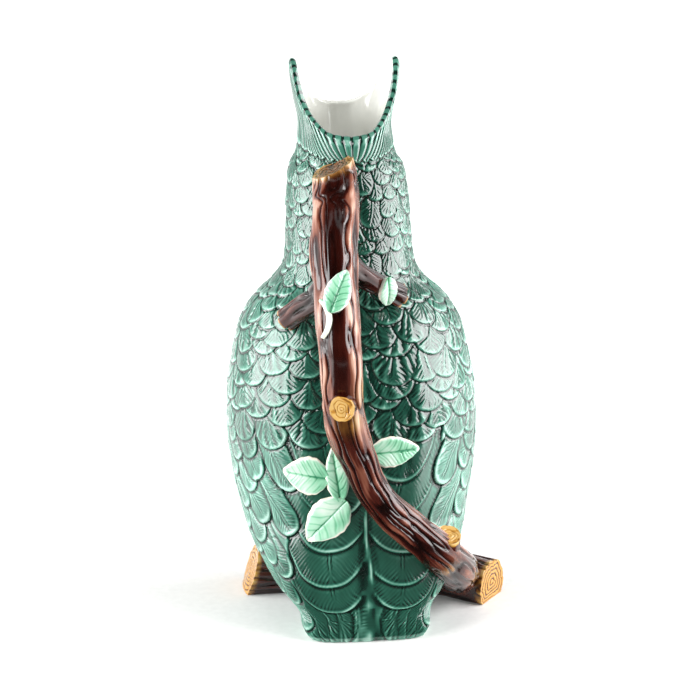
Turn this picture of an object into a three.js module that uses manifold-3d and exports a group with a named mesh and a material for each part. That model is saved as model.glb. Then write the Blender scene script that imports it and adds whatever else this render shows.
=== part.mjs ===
import * as THREE from "three";
import { mergeVertices } from "three/addons/utils/BufferGeometryUtils.js";
import Module from "manifold-3d";

// A lead-glazed earthenware jug in the shape of a perched parrot, in millimetres, +Z up.
// The bird looks along +Y and its tail stands on the table at -Y. The jug fills and pours through the
// open crest. A branch, luted on at the nape and the lower back, is the handle.
// The origin is on the table, in the middle of the tail's foot. The shapes are worked out about the
// bird's upright axis, and the finished group is then moved to the foot.

const wasm = await Module();
wasm.setup();

// The cast body
const bodyHeight = 221; // table to the back of the mouth
const bodyHalfWidth = 58; // at the widest, below the shoulders
const backReach = 56; // axis to the back of the tail
const breastReach = 56; // axis to the breast
const crestRise = 32; // back of the mouth to the crest tips
const wall = 4.5;
const rimWall = 3.2;
const footThickness = 8;
const tailSweep = 1.6; // the tail is set a little to the right
const sectionPower = 2.15; // of a level section: 2 is an ellipse, more is squarer
const tailPower = 4; // the same on the table
const featherLift = 0.7; // of a feather's tip over the row below it
const featherEdge = 0.4; // drop from a tip to where it lies on the row below

// The branch that makes the handle
const gripReach = 43; // most distance from the back to the branch's middle
const handleRadius = 9.8;
const rootSide = 51; // axis to the root's middle, on the right
const barkFlute = 0.4; // depth of the flutes in the bark
const twigRadius = 5.1; // at the cut end
const twigFlare = 2.6;
const stubRadius = 5.5;
const stubFlare = 1.8;
const elbowStubLength = 15.5; // from the branch's middle, like the next
const lowerStubLength = 15;

// The log that the bird sits on
const logLeftReach = 48.5;
const logRightReach = 66;
const logForward = 22; // axis to its middle
const logSwing = 29.4; // how far the right end comes back
const logHeight = 21.5;
const logDepth = 31;
const logSink = 5.5; // ground off its underside
const logCutLean = 6; // the left cut leans over by this

// Applied pieces
const leafLength = 21;
const leafWidth = 16;
const leafThickness = 2.5;
const leafFold = 0.7; // the midrib is this much lower than the edges
const stalkRadius = 1.5;
const stalkLength = 17;
const beakLength = 20;
const beakRadius = 9;
const lowerBeakLength = 13;
const lowerBeakRadius = 6;
const eyeRadius = 4.4;
const eyeBulge = 2.4;
const footSpread = 15; // axis to each foot
const shankRadius = 5.4;
const toeRadius = 3.1;
const toePitch = 7;

const seatGap = 0.3; // clearance between pieces that are luted together
const overrun = 1; // how far a piece runs into its seat before it is cut

// Heights are shares of bodyHeight, widths of bodyHalfWidth, backs of backReach, fronts of breastReach
const bodyShares = [
  [0, 0.465, 0.973, -0.43],
  [0.014, 0.5, 0.991, -0.39],
  [0.036, 0.51, 1, -0.32],
  [0.054, 0.532, 1, -0.1],
  [0.068, 0.585, 1, 0.18],
  [0.086, 0.65, 1, 0.34],
  [0.106, 0.705, 0.998, 0.455],
  [0.127, 0.75, 0.995, 0.54],
  [0.158, 0.807, 0.989, 0.64],
  [0.195, 0.865, 0.982, 0.73],
  [0.24, 0.912, 0.971, 0.82],
  [0.299, 0.959, 0.954, 0.9],
  [0.362, 0.99, 0.929, 0.95],
  [0.43, 1, 0.893, 0.985],
  [0.484, 0.992, 0.854, 1],
  [0.525, 0.963, 0.813, 0.99],
  [0.566, 0.93, 0.759, 0.965],
  [0.606, 0.894, 0.688, 0.93],
  [0.629, 0.855, 0.643, 0.9],
  [0.652, 0.798, 0.589, 0.87],
  [0.67, 0.735, 0.536, 0.845],
  [0.69, 0.647, 0.482, 0.815],
  [0.71, 0.576, 0.429, 0.785],
  [0.733, 0.53, 0.384, 0.76],
  [0.769, 0.508, 0.321, 0.745],
  [0.814, 0.502, 0.25, 0.765],
  [0.86, 0.494, 0.196, 0.81],
  [0.9, 0.478, 0.152, 0.86],
  [0.93, 0.454, 0.112, 0.9],
  [0.95, 0.406, 0.085, 0.925],
  [0.972, 0.384, 0.045, 0.95],
  [1, 0.37, -0.005, 0.99],
  [1.023, 0.372, -0.018, 1.02],
  [1.059, 0.4, -0.018, 1.045],
  [1.104, 0.428, 0, 1.05],
  [1.145, 0.44, 0.018, 1.05],
];

// Rows of feathers from the foot up: height of the tips at the middle of the back, on the flanks and at the
// breast, and of their scallops, as shares of bodyHeight
const featherShares = [
  [0.068, 0.208, 0.127, 0.023],
  [0.12, 0.258, 0.195, 0.02],
  [0.19, 0.303, 0.258, 0.019],
  [0.262, 0.342, 0.312, 0.016],
  [0.335, 0.376, 0.362, 0.014],
  [0.403, 0.407, 0.407, 0.015],
  [0.441, 0.441, 0.441, 0.015],
  [0.473, 0.473, 0.473, 0.015],
  [0.505, 0.505, 0.505, 0.015],
  [0.538, 0.538, 0.538, 0.015],
  [0.572, 0.572, 0.572, 0.015],
  [0.606, 0.606, 0.606, 0.015],
  [0.638, 0.638, 0.638, 0.014],
  [0.665, 0.665, 0.665, 0.012],
  [0.69, 0.69, 0.69, 0.011],
  [0.715, 0.715, 0.715, 0.011],
  [0.74, 0.74, 0.74, 0.012],
  [0.769, 0.769, 0.769, 0.014],
  [0.801, 0.801, 0.801, 0.014],
  [0.833, 0.833, 0.833, 0.014],
  [0.864, 0.864, 0.864, 0.014],
  [0.896, 0.896, 0.896, 0.014],
  [0.928, 0.928, 0.928, 0.014],
];
const featherPlaceShares = [0, 0.07, 0.4, 1]; // where a row has them: 0 is the back and 1 the breast
const rowFeatherCount = 20;
const longRowCount = 5; // rows with one long feather on each side of the middle of the back
const longTipShare = 0.075; // where the tip of such a feather is
const longSideShare = 0.2; // where its outer side starts to rise
const longEndShare = 0.25; // where it ends

const crestStartShare = 0.95; // of bodyHeight, where the crest's feathers begin

// Where the rim stands, from the back of the mouth (0) to the lip (1), as shares of crestRise
const rimShares = [
  [0, 0],
  [0.16, 0.05],
  [0.24, 0.144],
  [0.333, 0.3],
  [0.378, 0.456],
  [0.417, 0.706],
  [0.456, 0.906],
  [0.5, 1],
  [0.544, 0.97],
  [0.622, 0.78],
  [0.722, 0.53],
  [0.833, 0.34],
  [0.917, 0.266],
  [1, 0.25],
];

// The branch's middle line from the nape down to the log: side as a share of bodyHalfWidth, height of
// bodyHeight, distance from the back of gripReach, radius of handleRadius
const handleShares = [
  [-0.172, 0.95, 0.21, 0.98],
  [-0.165, 0.918, 0.28, 1.07],
  [-0.178, 0.885, 0.42, 1.07],
  [-0.203, 0.849, 0.63, 1.07],
  [-0.224, 0.815, 0.8, 1.05],
  [-0.239, 0.764, 0.955, 1],
  [-0.242, 0.693, 0.95, 1],
  [-0.233, 0.618, 0.79, 0.98],
  [-0.213, 0.536, 0.593, 0.94],
  [-0.185, 0.483, 0.453, 0.93],
  [-0.133, 0.437, 0.326, 0.9],
  [-0.067, 0.396, 0.24, 0.82],
  [0.006, 0.347, 0.186, 0.81],
  [0.137, 0.297, 0.16, 0.8],
  [0.323, 0.247, 0.163, 0.85],
  [0.491, 0.206, 0.193, 0.9],
];
const rootRadiusShares = [1, 1.12]; // of handleRadius, over the log and in its middle
const rootBendShares = [0.68, 0.42, 0.56]; // of the way from the last row to the root, along each axis
const topCutLeanShare = 0.42; // rise of the sawn top for each unit to the right

// The log's middle line: side as a share of its left or right reach, swing as a share of logSwing
const logShares = [
  [-1, 0],
  [-0.5, 0],
  [0.12, 0.06],
  [0.6, 0.36],
  [1, 1],
];
const logTaperShare = 0.9; // of the log's section, at its right end

// Twigs: root height on the branch and end height as shares of bodyHeight, end side of bodyHalfWidth
const twigShares = {
  twig_right: [0.8, 0.695, 0.325],
  twig_left: [0.76, 0.655, -0.55],
};

// Stubs: root height on the branch as a share of bodyHeight, then the direction they grow in
const elbowStubShares = [0.531, -0.17, -1, 0.12];
const lowerStubShares = [0.172, 0.11, -0.5, 0.86];

// Leaves on the back: side of the base as a share of bodyHalfWidth and its height of bodyHeight, length of
// leafLength and width of leafWidth, with the direction in degrees from +X towards +Z
const backLeafShares = {
  leaf_down: [-0.155, 0.306, 1.24, 1.1, 228],
  leaf_up: [-0.2, 0.302, 1.16, 0.66, 98],
  leaf_side: [-0.285, 0.349, 0.95, 1.1, 175],
  leaf_right: [0.02, 0.398, 1.12, 0.87, 2],
};

// The stalk: up from the leaf's base and to its left, as shares of stalkLength
const stalkShares = [
  [0.2, 0.5],
  [0.02, 0.34],
  [-0.24, 0.27],
  [-0.49, 0.33],
  [-0.68, 0.48],
];

// Beaks: forward and drop as shares of the beak's length, radius of its radius
const upperBeakShares = [
  [-0.25, 0, 1],
  [0.25, -0.02, 0.98],
  [0.62, 0.14, 0.8],
  [0.88, 0.5, 0.5],
  [0.9, 0.95, 0.12],
];
const lowerBeakShares = [
  [-0.35, 0, 1],
  [0.35, 0.1, 0.85],
  [0.75, 0.05, 0.5],
  [1, -0.1, 0.2],
];
const beakHeightShare = 0.925; // of bodyHeight, like the eyes' height
const eyeHeightShare = 0.935;
const eyeTurn = 0.85; // radians from the side towards the front

const greenGlaze = new THREE.MeshStandardMaterial({ name: "green_glaze", color: 0x2f6f5e, roughness: 0.12 });
const brownGlaze = new THREE.MeshStandardMaterial({ name: "brown_glaze", color: 0x4a1f17, roughness: 0.14 });
const ochreGlaze = new THREE.MeshStandardMaterial({ name: "ochre_glaze", color: 0xd9962e, roughness: 0.18 });
const leafGlaze = new THREE.MeshStandardMaterial({ name: "leaf_glaze", color: 0x9fe0bb, roughness: 0.15 });
const blackGlaze = new THREE.MeshStandardMaterial({ name: "black_glaze", color: 0x16110e, roughness: 0.1 });

// Value of a table's column at a place in its first column, smooth through its rows
function readTable(table, column, place) {
  const last = table.length - 1;
  const slope = (i) => {
    const before = table[Math.max(i - 1, 0)];
    const after = table[Math.min(i + 1, last)];
    return (after[column] - before[column]) / (after[0] - before[0]);
  };
  let i = 0;
  while (i < last - 1 && place > table[i + 1][0]) i++;
  const span = table[i + 1][0] - table[i][0];
  const t = THREE.MathUtils.clamp((place - table[i][0]) / span, 0, 1);
  const stay = (1 + 2 * t) * (1 - t) ** 2 * table[i][column] + t * t * (3 - 2 * t) * table[i + 1][column];
  return stay + span * t * (1 - t) * ((1 - t) * slope(i) - t * slope(i + 1));
}

// The body's level section at a height: squarer and set to the right in the tail
const tailShare = bodyShares[10][0];
function bodySection(height) {
  const share = height / bodyHeight;
  const tail = Math.max(0, 1 - share / tailShare);
  const halfWidth = bodyHalfWidth * readTable(bodyShares, 1, share);
  const back = -backReach * readTable(bodyShares, 2, share);
  const front = breastReach * readTable(bodyShares, 3, share);
  const power = sectionPower + (tailPower - sectionPower) * tail;
  const side = tailSweep * tail ** 2;
  return { halfWidth, halfDepth: (front - back) / 2, middle: (front + back) / 2, side, power };
}

// A point of the body's outside, or of its inside where inset is the wall
function bodyPoint(turn, height, inset = 0) {
  const section = bodySection(height);
  const rounded = (value) => Math.sign(value) * Math.abs(value) ** (2 / section.power);
  return new THREE.Vector3(
    section.side + (section.halfWidth - inset) * rounded(Math.cos(turn)),
    section.middle + (section.halfDepth - inset) * rounded(Math.sin(turn)),
    height,
  );
}

// Where the outside is at a side and height: towards is -1 for the back and 1 for the front
function surfaceY(x, height, towards) {
  const section = bodySection(height);
  const share = Math.min(Math.abs((x - section.side) / section.halfWidth), 1);
  return section.middle + towards * section.halfDepth * (1 - share ** section.power) ** (1 / section.power);
}
const backY = (x, height) => surfaceY(x, height, -1);
const frontY = (x, height) => surfaceY(x, height, 1);

// The way round from the middle of the back (0) to the breast (1) at a turn
const placeAt = (turn) => 1 - Math.abs(((turn / Math.PI + 2.5) % 2) - 1);

// How high the rim stands at a turn around the mouth
const rimHeight = (turn) => bodyHeight + crestRise * readTable(rimShares, 1, placeAt(turn));

// How high the tips of a row of feathers are at a turn: even and odd rows are half a feather apart
function featherHeight(row, turn) {
  const [back, flank, breast, scallop] = featherShares[row];
  const place = placeAt(turn);
  const rowShares = [back, back, flank, breast].map((share, i) => [featherPlaceShares[i], share]);
  const line = readTable(rowShares, 1, place);
  const beside = (place * rowFeatherCount) / 2 + (row < longRowCount ? 0 : (row % 2) / 2);
  let fromTip = 2 * Math.abs(beside - Math.round(beside));
  if (row < longRowCount && place < longEndShare) {
    const inner = (longTipShare - place) / longTipShare;
    fromTip = Math.max(0, inner, (place - longSideShare) / (longEndShare - longSideShare));
  }
  return bodyHeight * (line + scallop * fromTip ** 2);
}

// A closed skin over a run of rings with the same count of points
function skin(rings) {
  const count = rings[0].length;
  const points = rings.flat();
  const lastRing = points.length - count;
  const faces = [];
  for (let i = 0; i < lastRing; i += count)
    for (let j = 0; j < count; j++) {
      const a = i + j;
      const b = i + ((j + 1) % count);
      faces.push(a, b, b + count, a, b + count, a + count);
    }
  for (const first of [0, lastRing]) {
    const middle = new THREE.Vector3();
    for (let j = 0; j < count; j++) {
      const next = first + ((j + 1) % count);
      middle.addScaledVector(points[first + j], 1 / count);
      faces.push(points.length, first ? first + j : next, first ? next : first + j);
    }
    points.push(middle);
  }
  return new THREE.BufferGeometry().setFromPoints(points).setIndex(faces);
}

// A geometry as a solid, after its double vertices are merged
function solidOf(geometry) {
  const merged = mergeVertices(geometry.clone().deleteAttribute("normal").deleteAttribute("uv"));
  return new wasm.Manifold(
    new wasm.Mesh({
      numProp: 3,
      vertProperties: merged.getAttribute("position").array,
      triVerts: new Uint32Array(merged.index.array),
    }),
  );
}

// The solid that clears a geometry by the seat gap, for cutting what is luted to it
function seatOf(geometry) {
  const grown = mergeVertices(geometry.clone().deleteAttribute("normal").deleteAttribute("uv"));
  grown.computeVertexNormals();
  const places = grown.getAttribute("position");
  const normals = grown.getAttribute("normal");
  const point = new THREE.Vector3();
  const normal = new THREE.Vector3();
  for (let i = 0; i < places.count; i++) {
    point.fromBufferAttribute(places, i).addScaledVector(normal.fromBufferAttribute(normals, i), seatGap);
    places.setXYZ(i, point.x, point.y, point.z);
  }
  return solidOf(grown);
}

const group = new THREE.Group();

function addMesh(name, geometry, material) {
  geometry.computeVertexNormals();
  const mesh = new THREE.Mesh(geometry, material);
  mesh.name = name;
  group.add(mesh);
}

// Adds what is left of a solid once its seats are cut from it: the body of it that shows
function addCut(name, solid, seats, material) {
  const left = seats.reduce((rest, seat) => rest.subtract(seat), solid);
  const shown = left.decompose().reduce((most, each) => (each.volume() > most.volume() ? each : most));
  const mesh = shown.getMesh();
  const geometry = new THREE.BufferGeometry();
  geometry.setAttribute("position", new THREE.BufferAttribute(mesh.vertProperties, 3));
  geometry.setIndex(new THREE.BufferAttribute(mesh.triVerts, 1));
  addMesh(name, geometry, material);
}

const curveThrough = (points) => new THREE.CatmullRomCurve3(points, false, "centripetal");

// A round limb along a curve: radiusAt gives the radius at the curve's t, cuts the normals of its end faces
function limb(curve, radiusAt, { sides = 10, rings = 10, flute = 0, cuts = [] } = {}) {
  const frames = curve.computeFrenetFrames(rings, false);
  const length = curve.getLength();
  return skin(
    Array.from({ length: rings + 1 }, (_, i) => {
      const share = i / rings;
      const middle = curve.getPointAt(share);
      const along = frames.tangents[i];
      const radius = radiusAt(curve.getUtoTmapping(share));
      return Array.from({ length: sides }, (_, j) => {
        const turn = (2 * Math.PI * j) / sides;
        const reach = radius + flute * Math.cos(3 * turn + 5 * share);
        const offset = frames.normals[i].clone().multiplyScalar(reach * Math.cos(turn));
        offset.addScaledVector(frames.binormals[i], reach * Math.sin(turn));
        const point = middle.clone().add(offset);
        cuts.forEach((normal, end) => {
          const fade = Math.max(0, 1 - (Math.abs(share - end) * length) / (3 * radius));
          point.addScaledVector(along, (-fade * normal.dot(offset)) / normal.dot(along));
        });
        return point;
      });
    }),
  );
}

// A leaf with a pointed tip and a sunk midrib, laid by a function of (along, across, height)
function leaf(length, width, place) {
  const stations = 10;
  const acrossShares = [1, 0.5, 0, -0.5, -1, -0.5, 0, 0.5];
  return skin(
    Array.from({ length: stations + 1 }, (_, i) => {
      const share = 0.02 + (0.96 * i) / stations;
      const halfWidth = (width / 2) * Math.sin(Math.PI * share ** 0.8) ** 0.75;
      return acrossShares.map((across, j) => {
        const top = leafThickness - leafFold * (1 - Math.abs(across));
        const height = Math.abs(across) === 1 ? leafThickness / 2 : j < 5 ? top : -overrun;
        return place(length * share, halfWidth * across, height);
      });
    }),
  );
}

// Lays a leaf on the bird's back, from a base, in a direction turned from +X towards +Z
function onBack(x, height, turn) {
  return (along, across, up) => {
    const px = x + along * Math.cos(turn) - across * Math.sin(turn);
    const pz = height + along * Math.sin(turn) + across * Math.cos(turn);
    return new THREE.Vector3(px, backY(px, pz) - up, pz);
  };
}

// Lays a piece on the outer side of a limb, about a share of its curve, in a direction turned from the
// curve's start to its left: lead is how far the piece starts behind that place, aside how far it lies
// to the left of it, and bend how much flatter than the limb it is
function onLimb({ curve, share, radius, turn = 0, lead = 0, aside = 0, bend = 1 }) {
  const length = curve.getLength();
  return (along, across, up) => {
    const run = (along - lead) * Math.cos(turn) - across * Math.sin(turn);
    const around = (along - lead) * Math.sin(turn) + across * Math.cos(turn) + aside;
    const place = THREE.MathUtils.clamp(share - run / length, 0, 1);
    const back = curve.getTangentAt(place).negate();
    const out = new THREE.Vector3(0, -1, 0);
    out.addScaledVector(back, -out.dot(back)).normalize();
    const side = new THREE.Vector3().crossVectors(out, back);
    const bent = bend * radius;
    return curve
      .getPointAt(place)
      .addScaledVector(out, radius - bent + (bent + up) * Math.cos(around / bent))
      .addScaledVector(side, (bent + up) * Math.sin(around / bent));
  };
}

// Body: a slip casting, open at the crest, with a flat foot under the tail
const bodyColumnCount = 4 * rowFeatherCount;
const turns = Array.from({ length: bodyColumnCount }, (_, j) => (2 * Math.PI * j) / bodyColumnCount);
const crestStart = bodyHeight * crestStartShare;
const levels = bodyShares.filter((row) => row[0] < crestStartShare).map((row) => bodyHeight * row[0]);
const crestRing = (share, inset) =>
  turns.map((turn) => bodyPoint(turn, crestStart + (rimHeight(turn) - crestStart) * share, inset));
const levelRing = (height, inset) => turns.map((turn) => bodyPoint(turn, height, inset));
const featherRing = (row, drop, inset) =>
  turns.map((turn) => bodyPoint(turn, featherHeight(row, turn) - drop, inset));
const footRings = [0, 0.07, 0.16, 0.26, 0.36, 0.48, 0.62, 0.8].map((share) =>
  turns.map((turn) => bodyPoint(turn, share * featherHeight(0, turn))),
);
const rowNumbers = featherShares.map((_, row) => row);
const crestRings = [
  ...[0, 0.2, 0.4, 0.6, 0.8, 0.94].map((share) => crestRing(share, 0)),
  crestRing(1, rimWall / 4),
];
const feathered = rowNumbers.flatMap((row) => [
  featherRing(row, featherEdge, featherLift),
  featherRing(row, 0, 0),
]);
const outside = [...footRings, ...feathered, ...crestRings];
const inside = [
  crestRing(0.98, rimWall),
  ...[0.7, 0.4, 0.1].map((share) => crestRing(share, rimWall + (wall - rimWall) * (1 - share))),
  ...levels
    .filter((height, i) => height > footThickness + wall && i % 3 === 1)
    .reverse()
    .map((height) => levelRing(height, wall)),
  levelRing(footThickness, wall),
];
addMesh("body_shell", skin([...outside, ...inside]), greenGlaze);
const tipRings = rowNumbers.map((row) => featherRing(row, 0, 0));
const bodySeat = seatOf(skin([...footRings, ...tipRings, ...crestRings]));

// Perch log: a sawn log with its underside ground flat, under the front of the bird
const logCurve = new THREE.CatmullRomCurve3(
  logShares.map(([side, swing]) => {
    const reach = side < 0 ? logLeftReach : logRightReach;
    return new THREE.Vector3(side * reach, logForward - swing * logSwing, 0);
  }),
);

// A point on the log: share of its length, turn around it from its far side, lift off its surface
function logPoint(share, turn, lift = 0) {
  const point = logCurve.getPointAt(share);
  const along = logCurve.getTangentAt(share);
  const taper = 1 - (1 - logTaperShare) * share;
  const middle = (logHeight - logSink) / 2;
  const height = taper * (middle + (logHeight - middle) * Math.sin(turn));
  const out = (taper * logDepth * Math.cos(turn)) / 2 + lift * Math.cos(turn);
  point.x -= along.y * out - (logCutLean * Math.max(0, 1 - 5 * share) * height) / logHeight;
  point.y += along.x * out;
  point.z = Math.max(0, height + lift * Math.sin(turn));
  return point;
}
const logSideCount = 16;
const logRingCount = 12;
const logSkin = skin(
  Array.from({ length: logRingCount + 1 }, (_, i) =>
    Array.from({ length: logSideCount }, (_, j) =>
      logPoint(i / logRingCount, (2 * Math.PI * j) / logSideCount),
    ),
  ),
);
addCut("perch_log", solidOf(logSkin), [bodySeat], brownGlaze);
const logSeat = seatOf(logSkin);

// The share of the log's length where it passes a side
function logShareAt(x) {
  let low = 0;
  let high = 1;
  for (let i = 0; i < 30; i++) {
    const middle = (low + high) / 2;
    if (logCurve.getPointAt(middle).x < x) low = middle;
    else high = middle;
  }
  return low;
}

// Branch handle: from its sawn top at the nape, out round the hand, down on the back and across to the log
const rootFoot = logCurve.getPointAt(logShareAt(rootSide)).setZ(logHeight / 2);
rootFoot.y -= logDepth * 0.1;
const handlePoints = handleShares.map(([side, height, gap]) => {
  const x = side * bodyHalfWidth;
  const z = height * bodyHeight;
  return new THREE.Vector3(x, backY(x, z) - gap * gripReach, z);
});
const rootBend = rootFoot.clone().sub(handlePoints.at(-1)).multiply(new THREE.Vector3(...rootBendShares));
rootBend.add(handlePoints.at(-1));
const handleCurve = curveThrough([...handlePoints, rootBend, rootFoot]);
const handleRadii = [...handleShares.map((row) => row[3]), ...rootRadiusShares];
const handleRadiusTable = handleRadii.map((radius, i) => [i / (handleRadii.length - 1), radius]);
const handleRadiusAt = (t) => handleRadius * readTable(handleRadiusTable, 1, t);
const handleSkin = limb(handleCurve, handleRadiusAt, {
  sides: 14,
  rings: 36,
  flute: barkFlute,
  cuts: [new THREE.Vector3(-topCutLeanShare, 0, 1)],
});
addCut("branch_handle", solidOf(handleSkin), [bodySeat, logSeat], brownGlaze);
const handleSeat = seatOf(handleSkin);

// The share of the branch's length where it comes down past a height
function handleShareAt(heightShare) {
  let low = 0;
  let high = 1;
  for (let i = 0; i < 30; i++) {
    const middle = (low + high) / 2;
    if (handleCurve.getPointAt(middle).z > heightShare * bodyHeight) low = middle;
    else high = middle;
  }
  return low;
}
const handleAt = (heightShare) => handleCurve.getPointAt(handleShareAt(heightShare));

// Twigs: two sawn side shoots that lie on the shoulders and steady the branch
const twigs = {};
for (const [name, [rootShare, endShare, sideShare]] of Object.entries(twigShares)) {
  const root = handleAt(rootShare);
  const end = new THREE.Vector3(sideShare * bodyHalfWidth, 0, endShare * bodyHeight);
  end.y = backY(end.x, end.z) - twigRadius * 0.8;
  const bend = root.clone().lerp(end, 0.5);
  bend.z -= twigRadius * 0.25;
  const curve = curveThrough([root, bend, end]);
  const twigSkin = limb(curve, (t) => twigRadius + twigFlare * (1 - t) ** 2);
  addCut(name, solidOf(twigSkin), [bodySeat, handleSeat], brownGlaze);
  twigs[name] = { curve, seat: seatOf(twigSkin) };
}

// Stubs: sawn-off shoots of the branch, with bare ochre ends
function addStub(name, [rootShare, ...direction], length) {
  const root = handleAt(rootShare);
  const end = root.clone().addScaledVector(new THREE.Vector3(...direction).normalize(), length);
  const curve = curveThrough([root, root.clone().lerp(end, 0.5), end]);
  const stubSkin = limb(curve, (t) => stubRadius + stubFlare * (1 - t), { rings: 4, sides: 12 });
  addCut(name, solidOf(stubSkin), [handleSeat, bodySeat], ochreGlaze);
}
addStub("stub_elbow", elbowStubShares, elbowStubLength);
addStub("stub_lower", lowerStubShares, lowerStubLength);

// Leaves, pressed in a mould and laid on the wet clay, the earlier ones under the later
const leafSeats = [bodySeat, handleSeat];
for (const [name, [side, height, length, width, degrees]] of Object.entries(backLeafShares)) {
  const place = onBack(side * bodyHalfWidth, height * bodyHeight, THREE.MathUtils.degToRad(degrees));
  const leafSkin = leaf(leafLength * length, leafWidth * width, place);
  addCut(name, solidOf(leafSkin), leafSeats, leafGlaze);
  leafSeats.push(seatOf(leafSkin));
}

// The leaf on the grip with its curled stalk, and the leaf on the right twig
const gripPlace = { curve: handleCurve, share: handleShareAt(0.73), radius: handleRadius };
const gripLeafTurn = { turn: -0.4, lead: leafLength * 0.36, aside: leafWidth * 0.06 };
const gripLeafSkin = leaf(leafLength * 0.86, leafWidth * 0.68, onLimb({ ...gripPlace, ...gripLeafTurn }));
addCut("leaf_grip", solidOf(gripLeafSkin), [handleSeat, bodySeat], leafGlaze);
const stalkPlace = onLimb({ ...gripPlace, lead: leafLength * 0.22 });
const stalkCurve = curveThrough(
  stalkShares.map(([run, aside]) => stalkPlace(run * stalkLength, aside * stalkLength, stalkRadius * 0.4)),
);
const stalkSkin = limb(stalkCurve, (t) => stalkRadius * (1 - 0.3 * t), { sides: 8, rings: 8 });
addCut("leaf_stalk", solidOf(stalkSkin), [handleSeat, seatOf(gripLeafSkin)], leafGlaze);

const { curve: twigCurve, seat: twigSeat } = twigs.twig_right;
const twigLeafLength = leafLength * 0.66;
const twigLeafTurn = { turn: 2.3, lead: twigLeafLength / 2, bend: 1.8 };
const twigLeafPlace = onLimb({ curve: twigCurve, share: 0.7, radius: twigRadius, ...twigLeafTurn });
const twigLeafSkin = leaf(twigLeafLength, leafWidth * 0.6, twigLeafPlace);
addCut("leaf_twig", solidOf(twigLeafSkin), [twigSeat, bodySeat], leafGlaze);

// Beak: an upper half hooked over a short lower one, luted on under the pouring lip
function beakSkin(shares, length, radius, height) {
  const start = frontY(0, height);
  const curve = curveThrough(
    shares.map(([forward, drop]) => new THREE.Vector3(0, start + forward * length, height - drop * length)),
  );
  const table = shares.map((row, i) => [i / (shares.length - 1), row[2]]);
  return limb(curve, (t) => radius * readTable(table, 1, t), { sides: 12, rings: 8 });
}
const beakHeight = beakHeightShare * bodyHeight;
const upperBeakSkin = beakSkin(upperBeakShares, beakLength, beakRadius, beakHeight);
const lowerBeakHeight = beakHeight - beakRadius - lowerBeakRadius * 0.3;
const lowerBeakSkin = beakSkin(lowerBeakShares, lowerBeakLength, lowerBeakRadius, lowerBeakHeight);
addCut("beak_upper", solidOf(upperBeakSkin), [bodySeat], ochreGlaze);
addCut("beak_lower", solidOf(lowerBeakSkin), [bodySeat, seatOf(upperBeakSkin)], ochreGlaze);

// Eyes: low domes on the sides of the head
for (const [name, side] of [
  ["eye_right", 1],
  ["eye_left", -1],
]) {
  const turn = side > 0 ? eyeTurn : Math.PI - eyeTurn;
  const ball = new THREE.SphereGeometry(eyeRadius, 16, 10).rotateZ(Math.PI / 2);
  ball.scale((eyeBulge + overrun) / eyeRadius, 1, 1).rotateZ(turn);
  const place = bodyPoint(turn, eyeHeightShare * bodyHeight);
  ball.translate(place.x, place.y, place.z);
  addCut(name, solidOf(ball), [bodySeat], blackGlaze);
}

// Feet: a short shank out of the belly and two front toes that grip the log
for (const [name, side] of [
  ["foot_right", 1],
  ["foot_left", -1],
]) {
  const x = side * footSpread;
  const share = logShareAt(x);
  const hip = logHeight + shankRadius;
  const shankCurve = curveThrough([
    new THREE.Vector3(x, frontY(x, hip) - shankRadius, hip),
    new THREE.Vector3(x, frontY(x, hip) + shankRadius / 3, hip - shankRadius / 2),
    logPoint(share, Math.PI / 4, toeRadius),
  ]);
  const shankRadiusAt = (t) => shankRadius - (shankRadius - toeRadius) * t;
  let foot = solidOf(limb(shankCurve, shankRadiusAt, { sides: 8, rings: 4 }));
  for (const toe of [-0.5, 0.5]) {
    const toeShare = logShareAt(x + toe * toePitch);
    const tipShare = logShareAt(x + toe * toePitch * 1.6);
    const toeCurve = curveThrough([
      logPoint(share, 1.2, toeRadius / 2),
      logPoint(toeShare, 0.65, toeRadius / 2),
      logPoint(toeShare, 0.15, toeRadius / 2),
      logPoint(tipShare, -0.3, toeRadius / 3),
    ]);
    foot = foot.add(solidOf(limb(toeCurve, (t) => toeRadius * (1 - 0.55 * t ** 2), { sides: 8, rings: 6 })));
  }
  addCut(name, foot, [bodySeat, logSeat], ochreGlaze);
}

const foot = bodySection(0);
group.position.set(-foot.side, -foot.middle, 0);

export default group;
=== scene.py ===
import math

import bpy
import numpy as np
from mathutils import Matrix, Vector


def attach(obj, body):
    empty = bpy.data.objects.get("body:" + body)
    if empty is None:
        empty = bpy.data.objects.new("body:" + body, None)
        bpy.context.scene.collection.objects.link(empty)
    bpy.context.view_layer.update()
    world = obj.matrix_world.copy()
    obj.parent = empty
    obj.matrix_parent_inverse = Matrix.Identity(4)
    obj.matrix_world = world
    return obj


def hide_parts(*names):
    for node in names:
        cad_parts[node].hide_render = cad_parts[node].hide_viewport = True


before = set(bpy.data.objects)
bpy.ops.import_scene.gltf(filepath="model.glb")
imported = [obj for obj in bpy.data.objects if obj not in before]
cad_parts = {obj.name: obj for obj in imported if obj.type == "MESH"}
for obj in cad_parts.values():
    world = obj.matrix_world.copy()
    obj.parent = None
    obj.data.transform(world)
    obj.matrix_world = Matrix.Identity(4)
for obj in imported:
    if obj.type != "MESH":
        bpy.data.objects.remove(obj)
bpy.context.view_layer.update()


# Body: the bird's hollow casting, from the tail's flat foot to the open crest. It is earthenware with a
# green lead glaze outside, which runs off the feathers and pools dark in their outlines, and a white one
# inside. Sizes are in mm: the section at a height is a superellipse about the bird's upright axis.
body_height, half_width, back_reach, breast_reach = 221.0, 58.0, 56.0, 56.0
crest_rise, wall, rim_wall, foot_thickness = 32.0, 4.5, 3.2, 8.0
crest_start = 0.95 * body_height
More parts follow.
